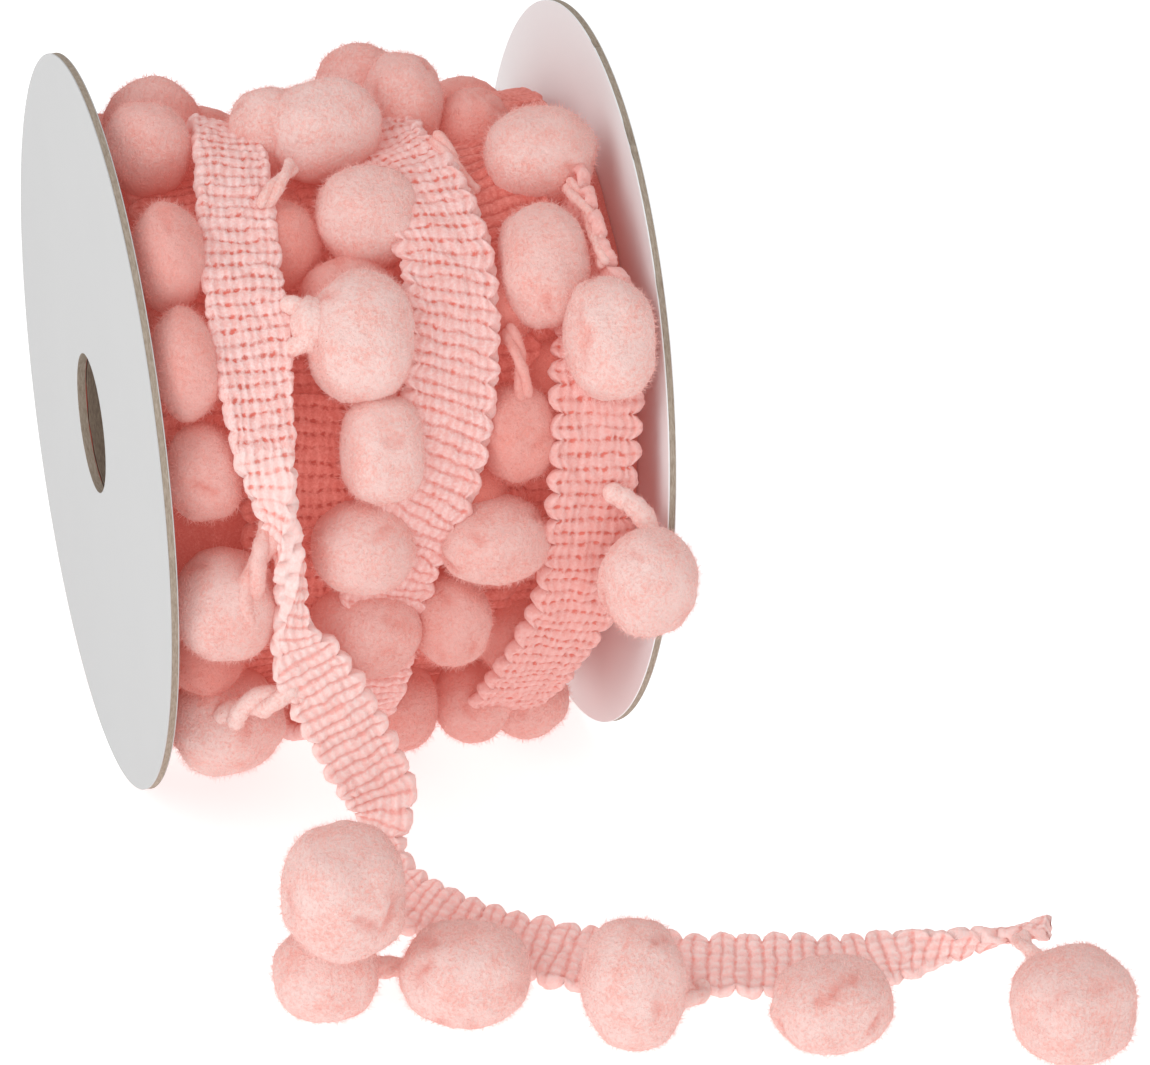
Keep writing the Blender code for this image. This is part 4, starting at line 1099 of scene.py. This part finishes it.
# On the reel: plies, thickness, how much painted shade it carries, then places as side, angle, reach
woundStems = [
    (2, 0.8, 0.15, [(-16.0, 58.4, 48.4), (-14.6, 59.7, 49.8), (-12.9, 61.8, 50.2), (-10.2, 65.6, 49.5)]),
    (1, 0.95, 0.0, [(-16.2, 41.2, 48.6), (-14.4, 40.0, 50.0), (-10.5, 37.4, 50.4)]),
    (1, 0.95, 0.0, [(-16.6, 33.6, 48.6), (-14.8, 34.2, 50.0), (-11.0, 35.4, 50.5)]),
    (1, 2.9, 0.0, [(-15.3, 37.3, 48.0), (-12.6, 36.9, 49.2), (-9.0, 36.5, 49.8)]),
    (2, 1.2, 0.3, [(-20.9, 8.5, 49.2), (-22.0, 5.0, 50.6), (-23.8, 1.5, 51.2), (-25.0, -3.0, 51.4),
                   (-25.4, -8.0, 51.8)]),
    (2, 1.35, 0.0, [(-18.0, -20.6, 54.6), (-21.6, -22.5, 53.6), (-24.0, -25.5, 52.2), (-25.8, -29.8, 50.6),
                    (-26.2, -34.8, 48.6)]),
    (2, 0.75, 0.4, [(10.0, 68.5, 49.5), (11.8, 64.5, 48.5), (13.0, 61.0, 46.5), (14.5, 58.0, 46.0)]),
    (2, 0.75, 0.25, [(26.8, 57.0, 48.0), (27.9, 49.5, 50.0), (28.2, 45.0, 50.5), (28.1, 40.0, 51.5)]),
    (2, 0.8, 0.6, [(14.6, 33.5, 46.0), (15.1, 29.0, 48.0), (15.3, 24.5, 48.0), (15.2, 20.0, 47.5)]),
    (1, 1.1, 0.05, [(25.0, 5.5, 49.8), (28.2, 3.4, 51.6), (30.0, 0.8, 53.2), (30.4, -2.5, 55.0)]),
]


def smoothPath(points, step):
    return [Vector(row) for row in evenRows([tuple(p) for p in points], Vector, step)[1]]


def twistedYarn(points, radius, plies, taper=0.0, deep=0.0):
    # one or two plies laid round each other along a path, each with rounded ends, and a share of painted
    # shade for every point
    path = smoothPath(points, stem["step"])
    allPoints, faces = [], []
    sides, last = stem["sides"], len(path) - 1
    thick = radius * (1 if plies == 1 else stem["plyShare"])
    for ply in range(plies):
        start = len(allPoints)
        first = Vector((0.3, -0.2, 1))
        for index, place in enumerate(path):
            forwards = (path[min(last, index + 1)] - path[max(0, index - 1)]).normalized()
            first = (first - forwards * first.dot(forwards)).normalized()
            second = first.cross(forwards)
            phase = 2 * math.pi * (index * stem["step"] / stem["twistPitch"] + ply / plies)
            apart = radius * stem["plyOffset"] * (plies - 1)
            offset = (first * math.cos(phase) + second * math.sin(phase)) * apart
            fromEnd = min(1, (min(index, last - index) + 0.15) * stem["step"] / thick)
            swell = 1 + stem["swell"] * noise.noise(place * stem["swellScale"] + Vector((ply * 9, 0, 0)))
            grown = thick * swell * (1 - taper * index / last) * math.sqrt(1 - (1 - fromEnd) ** 2)
            for side in range(sides):
                turn = 2 * math.pi * side / sides
                allPoints.append(place + offset + (first * math.cos(turn) + second * math.sin(turn)) * grown)
        end = start + last * sides
        faces += ringFaces(last + 1, sides, start)
        faces += [tuple(range(start, start + sides))[::-1], tuple(range(end, end + sides))]
    return allPoints, faces, np.full(len(allPoints), deep)


def makeWoundStems(tree, material):
    parts = []
    for plies, thickness, deep, places in woundStems:
        parts.append(twistedYarn([onReel(*p) for p in places], stem["radius"] * thickness, plies, 0.0, deep))
    item = ballsObject("wound_stems", parts)
    recalculate(item)
    finishSoft(item, material, "wound_trim",
               [(tree, pileValues(stem["fibreDensity"], 70, stem["fibreShare"]))])


def tapeEdge(place, edge, beyond):
    row = smoothRow(looseTape, place)
    before = onFloor(*smoothRow(looseTape, place - 0.1)[:3])
    centre = onFloor(*row[:3])
    across = (centre - before).normalized().cross(Vector(row[3:6])).normalized()
    return centre + across * edge * (row[6] / 2 + beyond)


def makeLooseStems(tree, material, pompoms):
    for index, row in enumerate(loosePompoms):
        centre, _ = looseBallPlace(row)
        path = []
        for beyond, least in (stem["looseRoot"], stem["looseOut"]):
            place = tapeEdge(row[7], row[8], beyond)
            place.z = max(place.z, least)
            path.append(place)
        path += [place.lerp(centre, share) for share in stem["looseWay"]]
        radius = stem["radius"] * stem["looseWidths"][index]
        yarns = twistedYarn(path, radius, 1 + index % 2, stem["looseTaper"])
        for point in yarns[0]:
            point.z = max(point.z, pompom["floorGap"])
        item = ballsObject("loose_stem_%d" % (index + 1), [yarns])
        recalculate(item)
        finishSoft(item, material, "loose_pompom_%d" % (index + 1),
                   [(tree, pileValues(stem["fibreDensity"], 80 + index, stem["fibreShare"]))])
        pompoms.append(item)


addCamera()
addStudio()
print("camera and studio ready")

pompomWool = yarnMaterial("felted acrylic pompom", yarn["felt"], yarn["fleck"], 0.5, 0.8, 0.4)
stemYarn = yarnMaterial("chenille yarn", yarn["stem"], yarn["stemDeep"], 0.45, 0.6, 0.3)
looseFibres = fibreMaterial("loose acrylic fibres")
tapeCotton = wovenMaterial("corded cotton tape", yarn["tape"], yarn["tapeMid"], yarn["tapeGrooveShade"],
                           yarn["tapeGlow"])
# the same tape, painted lighter for the loose end
looseCottonPaintedLighter = wovenMaterial("loose cotton tape painted lighter", yarn["loose"], yarn["looseMid"], yarn["looseGrooveShade"],
                            yarn["tapeGlow"])
# the same tape, painted in shade for the inner turns
shadedCotton = wovenMaterial("cotton tape painted in shade", yarn["packed"], yarn["packedMid"], yarn["packedGrooveShade"],
                             yarn["packedGlow"])
rawBoard = boardMaterial("cut grey board", "#B3A596", "#8C7C6C")

# the same coated paper on both discs: the left one painted darker where the key light falls on it, the right
# one painted paler, and cooler against the coral bounce light, where it lies in shade
makeDisc("flange_left", -1, paperMaterial("coated paper painted darker for the key light", "#C0C0C0", "#BDBDBD"), rawBoard)
makeDisc("flange_right", 1, paperMaterial("coated paper painted paler and cooler for its shade", "#EDEFF0", "#E9EBEC"), rawBoard)
makeTube(boardMaterial("kraft tube board", "#8A7A6A", "#6A594C"))
print("reel ready")

fibres = pileTree(pompomWool, looseFibres)
stemFibres = pileTree(stemYarn, looseFibres)
loosePieces = makeLoosePompoms(fibres, pompomWool)
makeLooseStems(stemFibres, stemYarn, loosePieces)
makePompoms(fibres, pompomWool)
print("pompoms ready")

makeInnerTurns(wovenTree(shadedCotton), shadedCotton)
makeWoundTape(wovenTree(tapeCotton), pileTree(tapeCotton, looseFibres), tapeCotton)
makeWoundStems(stemFibres, stemYarn)
makeLooseTape(wovenTree(looseCottonPaintedLighter), pileTree(looseCottonPaintedLighter, looseFibres), looseCottonPaintedLighter)
print("tapes ready")
